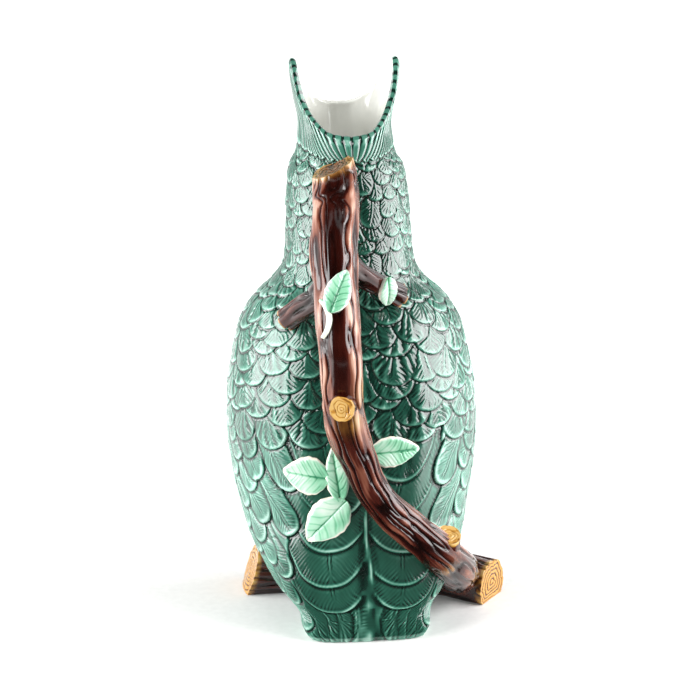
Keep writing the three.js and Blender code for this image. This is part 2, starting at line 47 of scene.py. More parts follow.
# Share of the height, of the half width, of the back's reach and of the breast's reach
body_rows = np.array([
    [0, 0.465, 0.973, -0.43], [0.014, 0.5, 0.991, -0.39], [0.036, 0.51, 1, -0.32], [0.054, 0.532, 1, -0.1],
    [0.068, 0.585, 1, 0.18], [0.086, 0.65, 1, 0.34], [0.106, 0.705, 0.998, 0.455], [0.127, 0.75, 0.995, 0.54],
    [0.158, 0.807, 0.989, 0.64], [0.195, 0.865, 0.982, 0.73], [0.24, 0.912, 0.971, 0.82],
    [0.299, 0.959, 0.954, 0.9], [0.362, 0.99, 0.929, 0.95], [0.43, 1, 0.893, 0.985], [0.484, 0.992, 0.854, 1],
    [0.525, 0.963, 0.813, 0.99], [0.566, 0.93, 0.759, 0.965], [0.606, 0.894, 0.688, 0.93],
    [0.629, 0.855, 0.643, 0.9], [0.652, 0.798, 0.589, 0.87], [0.67, 0.735, 0.536, 0.845],
    [0.69, 0.647, 0.482, 0.815], [0.71, 0.576, 0.429, 0.785], [0.733, 0.53, 0.384, 0.76],
    [0.769, 0.508, 0.321, 0.745], [0.814, 0.502, 0.25, 0.765], [0.86, 0.494, 0.196, 0.81],
    [0.9, 0.478, 0.152, 0.86], [0.93, 0.454, 0.112, 0.9], [0.95, 0.406, 0.085, 0.925],
    [0.972, 0.384, 0.045, 0.95], [1, 0.37, -0.005, 0.99], [1.023, 0.372, -0.018, 1.02],
    [1.059, 0.4, -0.018, 1.045], [1.104, 0.428, 0, 1.05], [1.145, 0.44, 0.018, 1.05],
])
# Way round the rim from the back of the mouth to the lip, and its rise as a share of the crest's
rim_rows = np.array([
    [0, 0], [0.16, 0.05], [0.24, 0.144], [0.333, 0.3], [0.378, 0.456], [0.417, 0.706], [0.456, 0.906],
    [0.5, 1], [0.544, 0.97], [0.622, 0.78], [0.722, 0.53], [0.833, 0.34], [0.917, 0.266], [1, 0.25],
])


def read_rows(rows, column, place):
    """A table's column at places in its first column: a cubic through each pair of rows, with the slope of
    the rows on either side."""
    x, y = rows[:, 0], rows[:, column]
    before, after = np.maximum(np.arange(len(x)) - 1, 0), np.minimum(np.arange(len(x)) + 1, len(x) - 1)
    slope = (y[after] - y[before]) / (x[after] - x[before])
    i = np.clip(np.searchsorted(x, place, side="right") - 1, 0, len(x) - 2)
    span = x[i + 1] - x[i]
    t = np.clip((place - x[i]) / span, 0, 1)
    stay = (1 + 2 * t) * (1 - t) ** 2 * y[i] + t * t * (3 - 2 * t) * y[i + 1]
    return stay + span * t * (1 - t) * ((1 - t) * slope[i] - t * slope[i + 1])


def body_section(height):
    """Half width, half depth, middle, side and power of the level section at a height."""
    share = np.asarray(height, float) / body_height
    tail = np.maximum(0, 1 - share / 0.24)
    back = -back_reach * read_rows(body_rows, 2, share)
    front = breast_reach * read_rows(body_rows, 3, share)
    wide = half_width * read_rows(body_rows, 1, share)
    return wide, (front - back) / 2, (front + back) / 2, 1.6 * tail**2, 2.15 + 1.85 * tail


foot_middle, foot_side = body_section(0)[2:4]


def to_frame(x, y, z):
    """Points about the bird's axis in mm, moved to the foot's middle and turned into metres."""
    return np.stack(np.broadcast_arrays(x - foot_side, y - foot_middle, z), -1) * 0.001


def body_point(turn, height, inset=0.0):
    """(x, y, z) in mm on the body at a turn from the right towards the front: each of cosine and sine to
    the power 2 / p, times the half axes less the inset."""
    wide, deep, middle, side, power = body_section(height)
    c, s = np.cos(turn), np.sin(turn)
    x = side + (wide - inset) * np.sign(c) * np.abs(c) ** (2 / power)
    y = middle + (deep - inset) * np.sign(s) * np.abs(s) ** (2 / power)
    return x, y, height + 0 * x


def rim_height(turn):
    """Height of the rim: the rim's table read by the way round from the back, the same on both sides."""
    from_front = np.abs((turn / math.pi + 2.5) % 2 - 1)
    return body_height + crest_rise * read_rows(rim_rows, 1, 1 - from_front)


def noise(x, y, z=0.0, seed=0):
    """Smooth value noise from -1 to 1 with a cell of 1: hashed lattice values, blended by a cubic."""
    x, y, z = np.broadcast_arrays(x, y, z)
    cells = [np.floor(v).astype(np.int64) for v in (x, y, z)]
    blends = [(v - c) ** 2 * (3 - 2 * (v - c)) for v, c in zip((x, y, z), cells)]
    total = np.zeros(x.shape)
    for corner in range(8):
        steps = [(corner >> axis) & 1 for axis in range(3)]
        i, j, k = (c + step for c, step in zip(cells, steps))
        mixed = (i * 73856093) ^ (j * 19349663) ^ (k * 83492791) ^ (seed * 2654435761)
        mixed = (mixed ^ (mixed >> 13)) * 1274126177 & 0x7FFFFFFF
        mixed = (mixed ^ (mixed >> 15)) & 0xFFFF
        weight = np.ones(x.shape)
        for blend, step in zip(blends, steps):
            weight = weight * (blend if step else 1 - blend)
        total += weight * (mixed / 32767.5 - 1)
    return total


def smooth_step(low, high, value):
    """0 below low, 1 above high and a cubic between them."""
    t = np.clip((value - low) / (high - low), 0, 1)
    return t * t * (3 - 2 * t)


def bell(value, width):
    """1 at 0, falling off on both sides: exp(-(value / width)^2)."""
    return np.exp(-((value / width) ** 2))


def norms(vectors):
    return np.linalg.norm(vectors, axis=-1)


def unit(vectors):
    return vectors / np.maximum(norms(vectors)[..., None], 1e-12)


def run_so_far(points):
    """Way along lines of points, one line to a column, up to each point."""
    steps = norms(np.diff(points, axis=0))
    return np.concatenate([0 * steps[:1], np.cumsum(steps, axis=0)])


def round_turns(count):
    """Turns of a number of columns round a limb, as one row."""
    return (2 * math.pi * np.arange(count) / count)[None]


column_count, crest_row_count, row_gap = 640, 75, 0.54
turns = round_turns(column_count)[0] - math.pi / 2
# Heights of the rows below the crest, half a millimetre apart along the flank
fine = np.linspace(0, crest_start, 4000)
fine_run = run_so_far(np.stack(body_point(0.25, fine), -1))
heights = np.interp(np.linspace(0, fine_run[-1], round(fine_run[-1] / row_gap)), fine_run, fine)
crest_shares = np.linspace(0, 1, crest_row_count + 1)[1:]
rim_z = rim_height(turns) - rim_wall / 2
level_z = np.concatenate([
    np.repeat(heights[:, None], column_count, 1),
    crest_start + (rim_z - crest_start)[None] * crest_shares[:, None],
])
outside = np.stack(body_point(turns[None], level_z), -1)


def grid_normals(grid):
    """Unit normals of a grid of points whose columns run anticlockwise and close on themselves: the columns'
    step cross the rows' step."""
    run = (np.roll(grid, -1, 1) - np.roll(grid, 1, 1)) / 2
    return unit(np.cross(run, np.gradient(grid, axis=0)))


out_normals = grid_normals(outside)
rise = run_so_far(outside)
column_step = norms(np.roll(outside, -1, 1) - outside)
girth = column_step.sum(1, keepdims=True)
arc = np.concatenate([np.zeros((len(outside), 1)), np.cumsum(column_step, axis=1)[:, :-1]], 1)

# Rows of feathers from the foot up: height of the tips at the middle of the back, on the flanks and at the
# breast, as shares of the height. The lowest five have a long feather on each side of the tail's middle.
feather_rows = np.array([
    [0.068, 0.208, 0.127], [0.12, 0.258, 0.195], [0.19, 0.303, 0.258], [0.262, 0.342, 0.312],
    [0.335, 0.376, 0.362], *[[share] * 3 for share in (
        0.403, 0.441, 0.473, 0.505, 0.538, 0.572, 0.606, 0.638, 0.665, 0.69, 0.715, 0.74, 0.769, 0.801, 0.833,
        0.864, 0.896, 0.928, 0.953)],
])


def row_height(row, degrees):
    """Height of a row's tips: its back, flank and breast heights, joined by cubics round the body."""
    back, flank, breast = feather_rows[row] * body_height
    rows = np.array([[0, back], [0.07, back], [0.4, flank], [1, breast]])
    return float(read_rows(rows, 1, abs(degrees) / 180))


# Feathers, each as (degrees from the middle of the back, height of the tip, lean of the root outwards in
# degrees, length, width, lift of the tip, spacing of the barbs)
rng = np.random.default_rng(7)
feathers = []
tail_row_count, per_row = 5, 20
for row in range(tail_row_count, len(feather_rows)):
    tip = feather_rows[row, 0] * body_height
    neck = float(smooth_step(132, 166, tip))
    wide = girth[np.argmin(np.abs(heights - tip)), 0] / per_row
    for number in range(per_row):
        degrees = ((number + row % 2 / 2) * 360 / per_row + 180) % 360 - 180
        leaning = 10 * (20 < abs(degrees) < 120) * (1 - neck)
        feathers.append((
            degrees + rng.uniform(-3.8, 3.8), tip + rng.uniform(-2.7, 2.7), leaning + rng.uniform(-17, 17),
            19 - 3 * neck, wide * rng.uniform(1.02, 1.32), 0.62 - 0.14 * neck, 2.3 - 0.5 * neck,
        ))
for row, (tail_long, tail_wide) in enumerate([(50, 40), (50, 41), (50, 40), (46, 37), (40, 32)]):
    for side in (-1, 1):
        feathers.append((
            side * (13.5 + rng.uniform(-1.5, 1.5)), row_height(row, 13.5) + rng.uniform(-1, 1), 4 + 2 * row,
            tail_long, tail_wide, 0.8, 2.3,
        ))
        for number in range(3, 11):
            degrees = number * 18 + (0 if row % 2 else 5 * (number < 6))
            if degrees > 180 - 4 * (side < 0):
                continue
            flank = float(1 - smooth_step(88, 112, degrees))
            feathers.append((
                side * (degrees + rng.uniform(-2, 2)), row_height(row, degrees) + rng.uniform(-2, 2),
                flank * (34 - 0.28 * (degrees - 50)), 22 + 34 * flank, 19 + rng.uniform(-2, 1), 0.7, 2.0,
            ))
# Between and below those rows, the wings' long feathers and the foot's short ones
for side in (-1, 1):
    for degrees, tip, lean, long in [
        (34, 70, 32, 40), (36, 50, 36, 50), (42, 30, 36, 56), (56, 34, 28, 56), (50, 17, 32, 60), (70, 36, 20, 50),
        (66, 20, 24, 56), (84, 33, 12, 40), (82, 14, 14, 44), (98, 20, 4, 30), (62, 5, 26, 50),
    ]:
        feathers.append((side * degrees + rng.uniform(-2, 2), tip, lean, long, 15.5, 0.7, 1.9))
for degrees in (-1.5, -14, 11.5, -28, 25, -45, 41, -66, 61, -90, 86):
    feathers.append((degrees, -1.5, 0, 18, 12.5, 0.5, 1.9))
feathers.sort(key=lambda feather: feather[1])


def lay_feathers(feathers):
    """Height of the relief in mm over the grid. The feathers are laid like shingles, the lowest first. Each
    is flat at its root and lifted at its rounded tip. Its outline is 1 - (u^p + v^p)^(1/p), with u the way
    to the tip and v the way to the side. Barbs are sine grooves along (way up + slant x way to the side),
    the shaft is a ridge between two lines, and a groove runs outside the outline. Streaks fan out from the
    root to the tip, as sines of the angle there."""
    relief = np.zeros(rise.shape)
    for number, (degrees, tip, lean, long, wide, lift, spacing) in enumerate(feathers):
        column = round(degrees / 360 * column_count) % column_count
        row = int(np.argmin(np.abs(heights - max(tip, 0))))
        low = max(0, row - 12)
        high = int(np.searchsorted(rise[:, column], rise[row, column] + long + wide * 0.7)) + 1
        up = rise[low:high] - rise[row] - min(tip, 0)
        side = arc[low:high] - arc[low:high, column : column + 1]
        side = (side + girth[low:high] / 2) % girth[low:high] - girth[low:high] / 2
        sine = math.sin(math.radians(lean)) * (1 if degrees > 0 else -1)
        cosine = math.cos(math.radians(lean))
        along, across = up * cosine + side * sine, side * cosine - up * sine
        near = np.abs(side).min(0) < wide * 0.8 + long * abs(sine)
        along, across = along[:, near], across[:, near]
        wobble = noise(along * 0.16, across * 0.16, number * 3.1, 5)
        across = across + 0.55 * wobble
        beside, half, blunt = np.abs(across), wide / 2, wide * (0.62 if long < 30 else 0.85)
        u = np.maximum(0, (blunt - along) / blunt)
        edge = (1 - (u**2.3 + (beside / half) ** 2.3) ** (1 / 2.3)) * half
        inside = np.clip(edge / 0.5 + 0.5, 0, 1) * np.clip((long + 3 - along) / 3, 0, 1)
        # The longer feathers and the tail's broad ones are more domed, and the broad ones have a raised edge
        large, broad = smooth_step(28, 50, long), smooth_step(24, 32, wide)
        top = lift * (1 - 0.92 * np.clip(along / long, 0, 1))
        top = top - (0.42 + 0.5 * large + 0.5 * broad) * (across / half) ** 2
        patches = smooth_step(-0.5, 0.5, noise(along * 0.3, across * 0.3, number * 1.7, 8))
        deep = (0.03 + 0.09 * patches) * np.clip(edge / 1.6, 0, 1) * np.clip(beside / 1.3, 0, 1)
        deep = deep * (1 - 0.8 * broad * smooth_step(1.5, 5.0, edge))
        phase = (along + 1.15 * beside) / spacing + 0.8 * wobble + number * 0.37
        barbs = deep * (np.sin(2 * math.pi * phase) + 0.4 * noise(phase * 2, across * 0.2, number, 9))
        fan = np.arctan2(across, np.maximum(1.7 * blunt - along, 0.5))
        streaks = np.sin(fan * 24 + 1.6 * wobble + number)
        streaks = streaks * smooth_step(-0.5, 0.6, noise(fan * 4, along * 0.09, number * 2.3, 11))
        streaks = (0.17 - 0.08 * large - 0.04 * broad) * streaks
        barbs = barbs + streaks * np.clip(edge / 1.2, 0, 1) * np.clip(beside, 0, 1)
        shaft = 0.06 * bell(beside, 0.35) - (0.1 + 0.18 * large) * bell(beside - 0.75, 0.26)
        shaft = shaft * smooth_step(0.12 * wide, 0.3 * wide, along)
        lip = (0.05 + 0.2 * broad) * bell(edge - 0.55, 0.3 + 0.1 * broad)
        groove = (0.3 - 0.14 * broad) * bell(edge + 0.35, 0.36) * (along < long)
        window = relief[low:high]
        window[:, near] = (window[:, near] - groove) * (1 - inside) + inside * (top + barbs + shaft + lip)
    return relief


relief = lay_feathers(feathers)
# The crest is a fan of ribs. They are 4.3 mm apart along the rim and run down towards the nape, and each
# meets the rim between two dark dots.
rib_gap, crest_low = 4.3, 205
rim_line = np.stack(body_point(turns, rim_z), -1)
rim_length = norms(np.roll(rim_line, -1, 0) - rim_line).sum()
rib_count = 2 * round(rim_length / (2 * rib_gap))
rib_phase = run_so_far(rim_line) / rim_length * rib_count
from_back = (np.degrees(turns)[None] + 90 + 180) % 360 - 180
half_turns = np.arange(column_count // 2 + 1) * 360 / column_count
half_rim, half_phase = rim_z[: len(half_turns)], rib_phase[: len(half_turns)]


def crest_edge(degrees):
    """Height where the ribs start: lowest at the middle of the back."""
    return 211.5 + 4.5 * smooth_step(10, 90, np.abs(degrees))


def rib_at(degrees, z):
    """Number of the rib, with its part, at a turn from the back and a height, found by halving: a rib goes
    from its base to the rim, and its turn grows with the way up."""
    low, high = np.zeros(degrees.shape), np.full(degrees.shape, 180.0)
    for _ in range(16):
        end = (low + high) / 2
        start = end * (0.42 + 0.58 * smooth_step(20, 150, end))
        base = crest_edge(start)
        way = np.clip((z - base) / (np.interp(end, half_turns, half_rim) - base), 0, 1) ** 0.8
        over = start + (end - start) * way > degrees
        low, high = np.where(over, low, end), np.where(over, end, high)
    return np.interp((low + high) / 2, half_turns, half_phase)


z_all = outside[..., 2]
below_rim = rim_z[None] - z_all
crest = z_all[:, 0] > crest_low
crest_phase = np.zeros(z_all.shape)
crest_phase[crest] = rib_at(np.abs(from_back) + 0 * z_all[crest], z_all[crest])
rib_relief = 0.4 * np.abs(np.sin(math.pi * crest_phase)) ** 0.55 + 0.1 * noise(crest_phase * 4, z_all * 0.12, seed=3)
dots = bell(np.abs(crest_phase % 1 - 0.5) - 0.5, 0.27) * bell(below_rim - 1.0, 1.3)
past_edge = z_all - crest_edge(from_back) + 1.2 * np.abs(np.sin(math.pi * crest_phase / 2))
on_crest = smooth_step(-0.5, 0.5, past_edge)
relief = relief * (1 - on_crest) + on_crest * (rib_relief + 0.3) - 0.35 * bell(past_edge + 0.4, 0.45) - 0.4 * dots
# The hollow between the wings
between = 1 - smooth_step(17, 27, np.abs(from_back))
relief -= 1.1 * between * smooth_step(66, 92, z_all) * (1 - smooth_step(140, 152, z_all))
# The raised seam down the middle of the tail, where the coverts of both sides meet
seam_way = arc - np.where(arc > girth / 2, girth, 0) - 1.3 * noise(z_all * 0.12, 0 * z_all, 6, 6) - 0.5
seam_low = 1 - smooth_step(56, 64, z_all)


def blurred(grid, reach):
    """The mean over a square of 2 x reach + 1 rows and columns."""
    rows = np.pad(grid, ((reach, reach), (0, 0)), mode="edge")
    total = sum(rows[k : k + len(grid)] for k in range(2 * reach + 1))
    return sum(np.roll(total, k, 1) for k in range(-reach, reach + 1)) / (2 * reach + 1) ** 2


near_seam = seam_low * np.exp(-((seam_way / 1.9) ** 4))
relief = relief * (1 - near_seam) + near_seam * (blurred(blurred(relief, 5), 5) + 0.1)
relief += seam_low * (0.4 * bell(seam_way, 0.55) - 0.15 * bell(np.abs(seam_way) - 1.2, 0.45))

# Glaze is thin on what stands up and pools in what lies low: 0 is the darkest pool and 1 the thinnest. The middle of
# the back is painted darker than the wings, a painted dark reflection, and the neck is darker.
local = relief - blurred(relief, 4)
cloud = noise(outside[..., 0] / 14, outside[..., 1] / 14, z_all / 22, 2)
# Painted dark reflection: thick darkens a band down the middle of the back, wider below 70 mm, where it faces the
# camera
thick = 1 - smooth_step(16, 44, np.abs(from_back) - 20 * smooth_step(70, 40, z_all))
thick = thick * smooth_step(215, 200, z_all)
tone = 0.55 + np.where(local < 0, 2.0, 1.4) * local + 0.1 * cloud - 0.23 * thick
# Painted sheen: below 60 to 95 mm the body is painted lighter, standing in for highlights on the tail and lower
# flanks. Above 140 to 160 mm the neck is darker.
tone += 0.13 * smooth_step(95, 60, z_all) - 0.07 * smooth_step(140, 160, z_all) * (1 - on_crest)
# Painted reflection: the foot's lowest 1.2 to 2.6 mm is painted lighter, a painted reflection of the table. The
# rim's edge is lighter too.
tone += 0.22 * smooth_step(3.0, 1.6, below_rim) * (1 - dots) + 0.2 * smooth_step(2.6, 1.2, z_all)
tone = np.clip(tone - 0.5 * dots, 0, 1)
outside = outside + out_normals * (relief - 0.55)[..., None]
out_normals = grid_normals(outside)


def linear(code):
    """An sRGB hex code as linear light, with full cover."""
    c = np.array([int(code[i : i + 2], 16) for i in (1, 3, 5)]) / 255
    return (*np.where(c <= 0.04045, c / 12.92, ((c + 0.055) / 1.055) ** 2.4), 1.0)


def link(node, socket, source):
    """Links a node's socket from an output, or from a node's first output."""
    node.id_data.links.new(getattr(source, "outputs", [source])[0], node.inputs[socket])


def add_node(tree, kind, settings=(), values=(), links=(), stops=()):
    """Adds a shader node: its settings, its sockets' values, what they are linked from, its ramp's stops."""
    made = tree.nodes.new("ShaderNode" + kind)
    for key, value in dict(settings).items():
        setattr(made, key, value)
    for socket, value in dict(values).items():
        made.inputs[socket].default_value = value
    for socket, source in dict(links).items():
        link(made, socket, source)
    for number, (place, code) in enumerate(stops):
        ramp = made.color_ramp.elements
        stop = ramp[number] if number < 2 else ramp.new(place)
        stop.position, stop.color = place, linear(code)
    return made


def new_material(name, roughness, ior, scale, detail=2.0, bump=None):
    """A glossy material, its node tree, shader and place, and a noise, which also makes the surface uneven
    where bump gives a strength and a height in metres."""
    material = bpy.data.materials.new(name)
    material.use_nodes = True
    tree = material.node_tree
    shader = tree.nodes["Principled BSDF"]
    shader.inputs["Roughness"].default_value, shader.inputs["IOR"].default_value = roughness, ior
    place = add_node(tree, "TexCoord").outputs["Object"]
    grain = add_node(tree, "TexNoise", values={"Scale": scale, "Detail": detail}, links={"Vector": place})
    if bump:
        strength, height = bump
        link(shader, "Normal", add_node(tree, "Bump", values={"Strength": strength, "Distance": height},
                                        links={"Height": grain}))
    return material, tree, shader, place, grain


def attribute(tree, name):
    return add_node(tree, "Attribute", {"attribute_name": name}).outputs["Fac"]


def colour_ramp(tree, source, stops):
    return add_node(tree, "ValToRGB", links={"Fac": source}, stops=stops)


# Green lead glaze, dipped and fired: a deep bluish green in the pools, mint where it is thin. Its skin is
# slightly uneven, at about 2 mm.
green_glaze, tree, shader, place, _ = new_material("green_lead_glaze", 0.11, 1.7, 450.0, bump=(0.12, 0.0003))
green = colour_ramp(tree, attribute(tree, "tone"), [
    (0.0, "#051812"), (1.0, "#a3cdbd"), (0.25, "#0f3026"), (0.5, "#235243"), (0.72, "#4f8875")])
# Runs of thicker glaze, about 12 mm wide and longer than that down the body
stretched = add_node(tree, "Mapping", values={"Scale": (80, 80, 35)}, links={"Vector": place})
runs = add_node(tree, "TexNoise", values={"Scale": 1.0, "Detail": 3.0}, links={"Vector": stretched})
runs = add_node(tree, "MapRange", values={"From Min": 0.3, "From Max": 0.7, "To Min": 0.78, "To Max": 1.2},
                links={"Value": runs})
varied = add_node(tree, "VectorMath", {"operation": "SCALE"}, links={"Vector": green, "Scale": runs})
link(shader, "Base Color", varied)

# White glaze, poured in and out again: warm white, smooth, with faint grey drips
white_glaze, tree, shader, _, grain = new_material(
    "white_lead_glaze", 0.12, 1.55, 60.0, 3.0, bump=(0.15, 0.0005))
link(shader, "Base Color", colour_ramp(tree, grain, [(0.25, "#dbdbd3"), (0.75, "#edeee8")]))


def add_object(name, data):
    made = bpy.data.objects.new(name, data)
    bpy.context.scene.collection.objects.link(made)
    return made


def add_piece(name, points, faces, materials, slot, index=None, normals=None, **attributes):
    """A mesh piece that rides on the body: points in metres, arrays of faces, the number of each face's
    material, normals, and attributes with a value for each point."""
    mesh = bpy.data.meshes.new(name)
    mesh.vertices.add(len(points))
    mesh.vertices.foreach_set("co", np.ascontiguousarray(points, np.float32).ravel())
    sizes = np.concatenate([np.full(len(part), part.shape[1]) for part in faces])
    corners = np.concatenate([part.ravel() for part in faces])
    mesh.loops.add(len(corners))
    mesh.loops.foreach_set("vertex_index", corners.astype(np.int32))
    mesh.polygons.add(len(sizes))
    mesh.polygons.foreach_set("loop_start", (np.cumsum(sizes) - sizes).astype(np.int32))
    mesh.polygons.foreach_set("use_smooth", np.ones(len(sizes), bool))
    for material in materials:
        mesh.materials.append(material)
    if index is not None:
        mesh.polygons.foreach_set("material_index", np.ascontiguousarray(index, np.int32).ravel())
    mesh.update(calc_edges=True)
    mesh.validate()
    for key, values in attributes.items():
        values = np.ascontiguousarray(values, np.float32).ravel()
        mesh.attributes.new(key, "FLOAT", "POINT").data.foreach_set("value", values)
    if normals is not None:
        mesh.normals_split_custom_set_from_vertices(np.ascontiguousarray(normals, np.float32))
    piece = add_object(name, mesh)
    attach(piece, "root")
    return piece


def ring_faces(rows, columns, closed):
    """Quads between neighbouring rings, and from the last back to the first where the run is closed."""
    i = np.arange(rows if closed else rows - 1)[:, None]
    j = np.arange(columns)[None]
    a, b = i * columns + j, i * columns + (j + 1) % columns
    c = (i + 1) % rows * columns
    return np.stack([a, b, c + (j + 1) % columns, c + j], -1).reshape(-1, 4)


def pole_faces(first, middle, columns, up):
    """Triangles from a ring to its middle point, facing up or down."""
    j = np.arange(columns)
    a, b = first + j, first + (j + 1) % columns
    return np.stack([a, b, np.full(columns, middle)] if up else [b, a, np.full(columns, middle)], -1)


# The casting is cut into four level bands, so that none has too many faces. The head's is the shortest, since
# the rim and the long inside wall add rows to it.
head_shorter, green_rim_rows = 17, 6
cuts = np.linspace(0, len(outside) + head_shorter, 5).round().astype(int)
cuts[-1] = len(outside) - 1
rim_ribs = np.abs(np.sin(math.pi * rib_phase)) ** 0.6
rim_angles, inside_tone = np.radians([18, 45, 72, 95, 120, 150, 175]), 0.6
for name, first, last in zip(["body_tail", "body_belly", "body_shoulders", "body_head"], cuts[:-1], cuts[1:]):
    at_foot, at_rim = name == "body_tail", name == "body_head"
    z_low, z_high = level_z[first], rim_z if at_rim else level_z[last]
    inner = []
    for angle in rim_angles if at_rim else []:
        # The rim is rounded, and its top is pinched into a scallop over each rib
        round_z = rim_z + rim_wall / 2 * math.sin(angle) - 0.3 * (1 - rim_ribs) * math.sin(angle) ** 2
        inset = rim_wall / 2 * (1 - math.cos(angle)) + 0.25 * math.cos(angle) ** 2
        inner.append(np.stack(body_point(turns, round_z, inset), -1))
    for share in np.linspace(0.02, 1, 26) if at_rim else np.linspace(0, 1, 10):
        z = z_high + (z_low - z_high) * share
        thick = rim_wall + (wall - rim_wall) * np.clip((rim_z - z) / 30, 0, 1)
        inner.append(np.stack(body_point(turns, np.maximum(z, foot_thickness), thick), -1))
    shell = outside[first : last + 1]
    rings = np.concatenate([shell, inner])
    normals = grid_normals(rings)
    normals[: len(shell)] = out_normals[first : last + 1]
    tones = np.concatenate([tone[first : last + 1], np.full((len(inner), column_count), inside_tone)])
    faces = [ring_faces(len(rings), column_count, closed=not at_foot)]
    # Green outside and over the rim (0), white inside and on the inner half of the rim's front (1)
    green_rows = len(shell) - 1 + green_rim_rows * at_rim
    index = np.ones((len(faces[0]) // column_count, column_count))
    index[:green_rows] = 0
    if at_rim:
        tones[len(shell) : green_rows + 1] = np.where(np.abs(rib_phase % 1 - 0.5) > 0.33, 0.07, 0.62)
        index[len(shell) + 1 : green_rows, np.abs(from_back[0]) > 104] = 1
    points, normals = rings.reshape(-1, 3), normals.reshape(-1, 3)
    if at_foot:
        points = np.concatenate([points, [rings[-1].mean(0), rings[0].mean(0)]])
        normals = np.concatenate([normals, [[0, 0, 1], [0, 0, -1]]])
        tones = np.append(tones, [inside_tone, inside_tone])
        faces += [pole_faces((len(rings) - 1) * column_count, len(points) - 2, column_count, True),
                  pole_faces(0, len(points) - 1, column_count, False)]
        index = np.concatenate([*index, np.ones(column_count), np.zeros(column_count)])
    points = to_frame(points[:, 0], points[:, 1], np.maximum(points[:, 2], 0))
    piece = add_piece(name, points, faces, [green_glaze, white_glaze], "green_glaze", index, normals, tone=tones)
    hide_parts("body_shell")


# Branch handle: a rod of clay, scored as bark, bent and luted on at the nape, on the lower back and on the
# log. Its manganese brown glaze runs off the ridges, and ochre was brushed on where it is sawn.
grip_reach, branch_radius, branch_steps, root_side, limb_columns = 43.0, 9.8, 440, 51.0, 150
log_height, log_depth, log_steps, log_y, log_bow = 21.5, 31.0, 300, 22.0, 29.4
# Side of the half width, height of the body's, gap to the back of the grip's reach, radius of the branch's
branch_rows = np.array([
    [-0.172, 0.95, 0.21, 0.98], [-0.165, 0.918, 0.28, 1.07], [-0.178, 0.885, 0.42, 1.07],
    [-0.203, 0.849, 0.63, 1.07], [-0.224, 0.815, 0.8, 1.05], [-0.239, 0.764, 0.955, 1],
    [-0.242, 0.693, 0.95, 1], [-0.233, 0.618, 0.79, 0.98], [-0.213, 0.536, 0.593, 0.94],
    [-0.185, 0.483, 0.453, 0.93], [-0.133, 0.437, 0.326, 0.9], [-0.067, 0.396, 0.24, 0.82],
    [0.006, 0.347, 0.186, 0.81], [0.137, 0.297, 0.16, 0.8], [0.323, 0.247, 0.163, 0.85],
    [0.491, 0.206, 0.193, 0.9],
])


def surface_y(x, z, towards):
    """Where the body's outside is at a side and height, towards the back (-1) or the front (1)."""
    wide, deep, middle, side, power = body_section(z)
    share = np.minimum(np.abs((x - side) / wide), 1)
    return middle + towards * deep * (1 - share**power) ** (1 / power)


def read_line(at, run, points):
    """Places on a line of points, at a way along it, where run is the way to each point."""
    return np.stack([np.interp(at, run, axis) for axis in points.T], -1)


def read_evenly(values, way):
    """Values at even steps from 0 to 1, read at a way between them."""
    return read_rows(np.stack([np.linspace(0, 1, len(values)), values], 1), 1, way)


def even_run(places):
    """Way along a line of evenly spaced places, as a column."""
    return norms(np.diff(places, axis=0)).sum() * np.linspace(0, 1, len(places))[:, None]


def curve_through(points, count):
    """Places at even steps along a smooth curve through points, and their way by points from 0 to 1. Each
    span is a cubic, with slopes weighted by the square roots of the spans' lengths."""
    p = np.asarray(points, float)
    p = np.concatenate([2 * p[:1] - p[1:2], p, 2 * p[-1:] - p[-2:-1]])
    root = np.sqrt(norms(np.diff(p, axis=0)))[:, None]
    spans = len(p) - 3
    t = np.linspace(0, spans, 80 * spans + 1)
    i = np.minimum(t.astype(int), spans - 1)
    w = (t - i)[:, None]
    a, b, c, d = (p[i + k] for k in range(4))
    before, here, after = (root[i + k] for k in range(3))
    leave = ((b - a) / before - (c - a) / (before + here) + (c - b) / here) * here
    reach = ((c - b) / here - (d - b) / (here + after) + (d - c) / after) * here
    fine = (1 + 2 * w) * (1 - w) ** 2 * b + w * (1 - w) ** 2 * leave
    fine = fine + w * w * (3 - 2 * w) * c - w * w * (1 - w) * reach
    run = run_so_far(fine)
    even = np.linspace(0, run[-1], count + 1)
    return read_line(even, run, fine), np.interp(even, run, t) / spans


def carry_frames(places, out):
    """Directions along a curve, outwards and to the side, carried on from ring to ring without twist."""
    along, out = unit(np.gradient(places, axis=0)), np.array(out, float)
    outs = np.zeros(places.shape)
    for number, direction in enumerate(along):
        out = unit(out - (out @ direction) * direction)
        outs[number] = out
    return along, outs, np.cross(along, outs)


def offset_round(turn, reach, outs, to_side):
    """From a limb's middle line to its skin: reach times (cosine of the turn x out + its sine x side)."""
    return reach[..., None] * (np.cos(turn)[..., None] * outs[:, None] + np.sin(turn)[..., None] * to_side[:, None])


def bark(run, turn, radius, seed):
    """Height and tone of scored bark. Its ridges are what lies between the zero lines of a noise about 3 mm
    wide, drawn out along the limb and bent by a slower one; a fine noise scratches them lengthwise."""
    c, s = radius * np.cos(turn), radius * np.sin(turn)
    bend = noise(c / 7, s / 7, run / 11, seed + 1)
    lines = noise(c / 2.9 + 0.9 * bend, s / 2.9 - 0.9 * bend, run / 26, seed)
    broad = noise(c / 6, s / 6, run / 34, seed + 2)
    fine = noise(c / 0.8, s / 0.8, run / 6, seed + 3)
    crease, ridge = bell(lines, 0.14), np.abs(lines) ** 0.8
    height = 1.2 * ridge - 0.55 * crease + 0.5 * broad + 0.12 * fine
    return height, 0.36 + 0.6 * ridge - 0.34 * crease + 0.1 * broad + 0.14 * fine


def face_shares(steps):
    """Shares of a sawn face's radius at its rings, from the edge to the middle."""
    return np.linspace(0.985, 0.02, steps)[:, None]


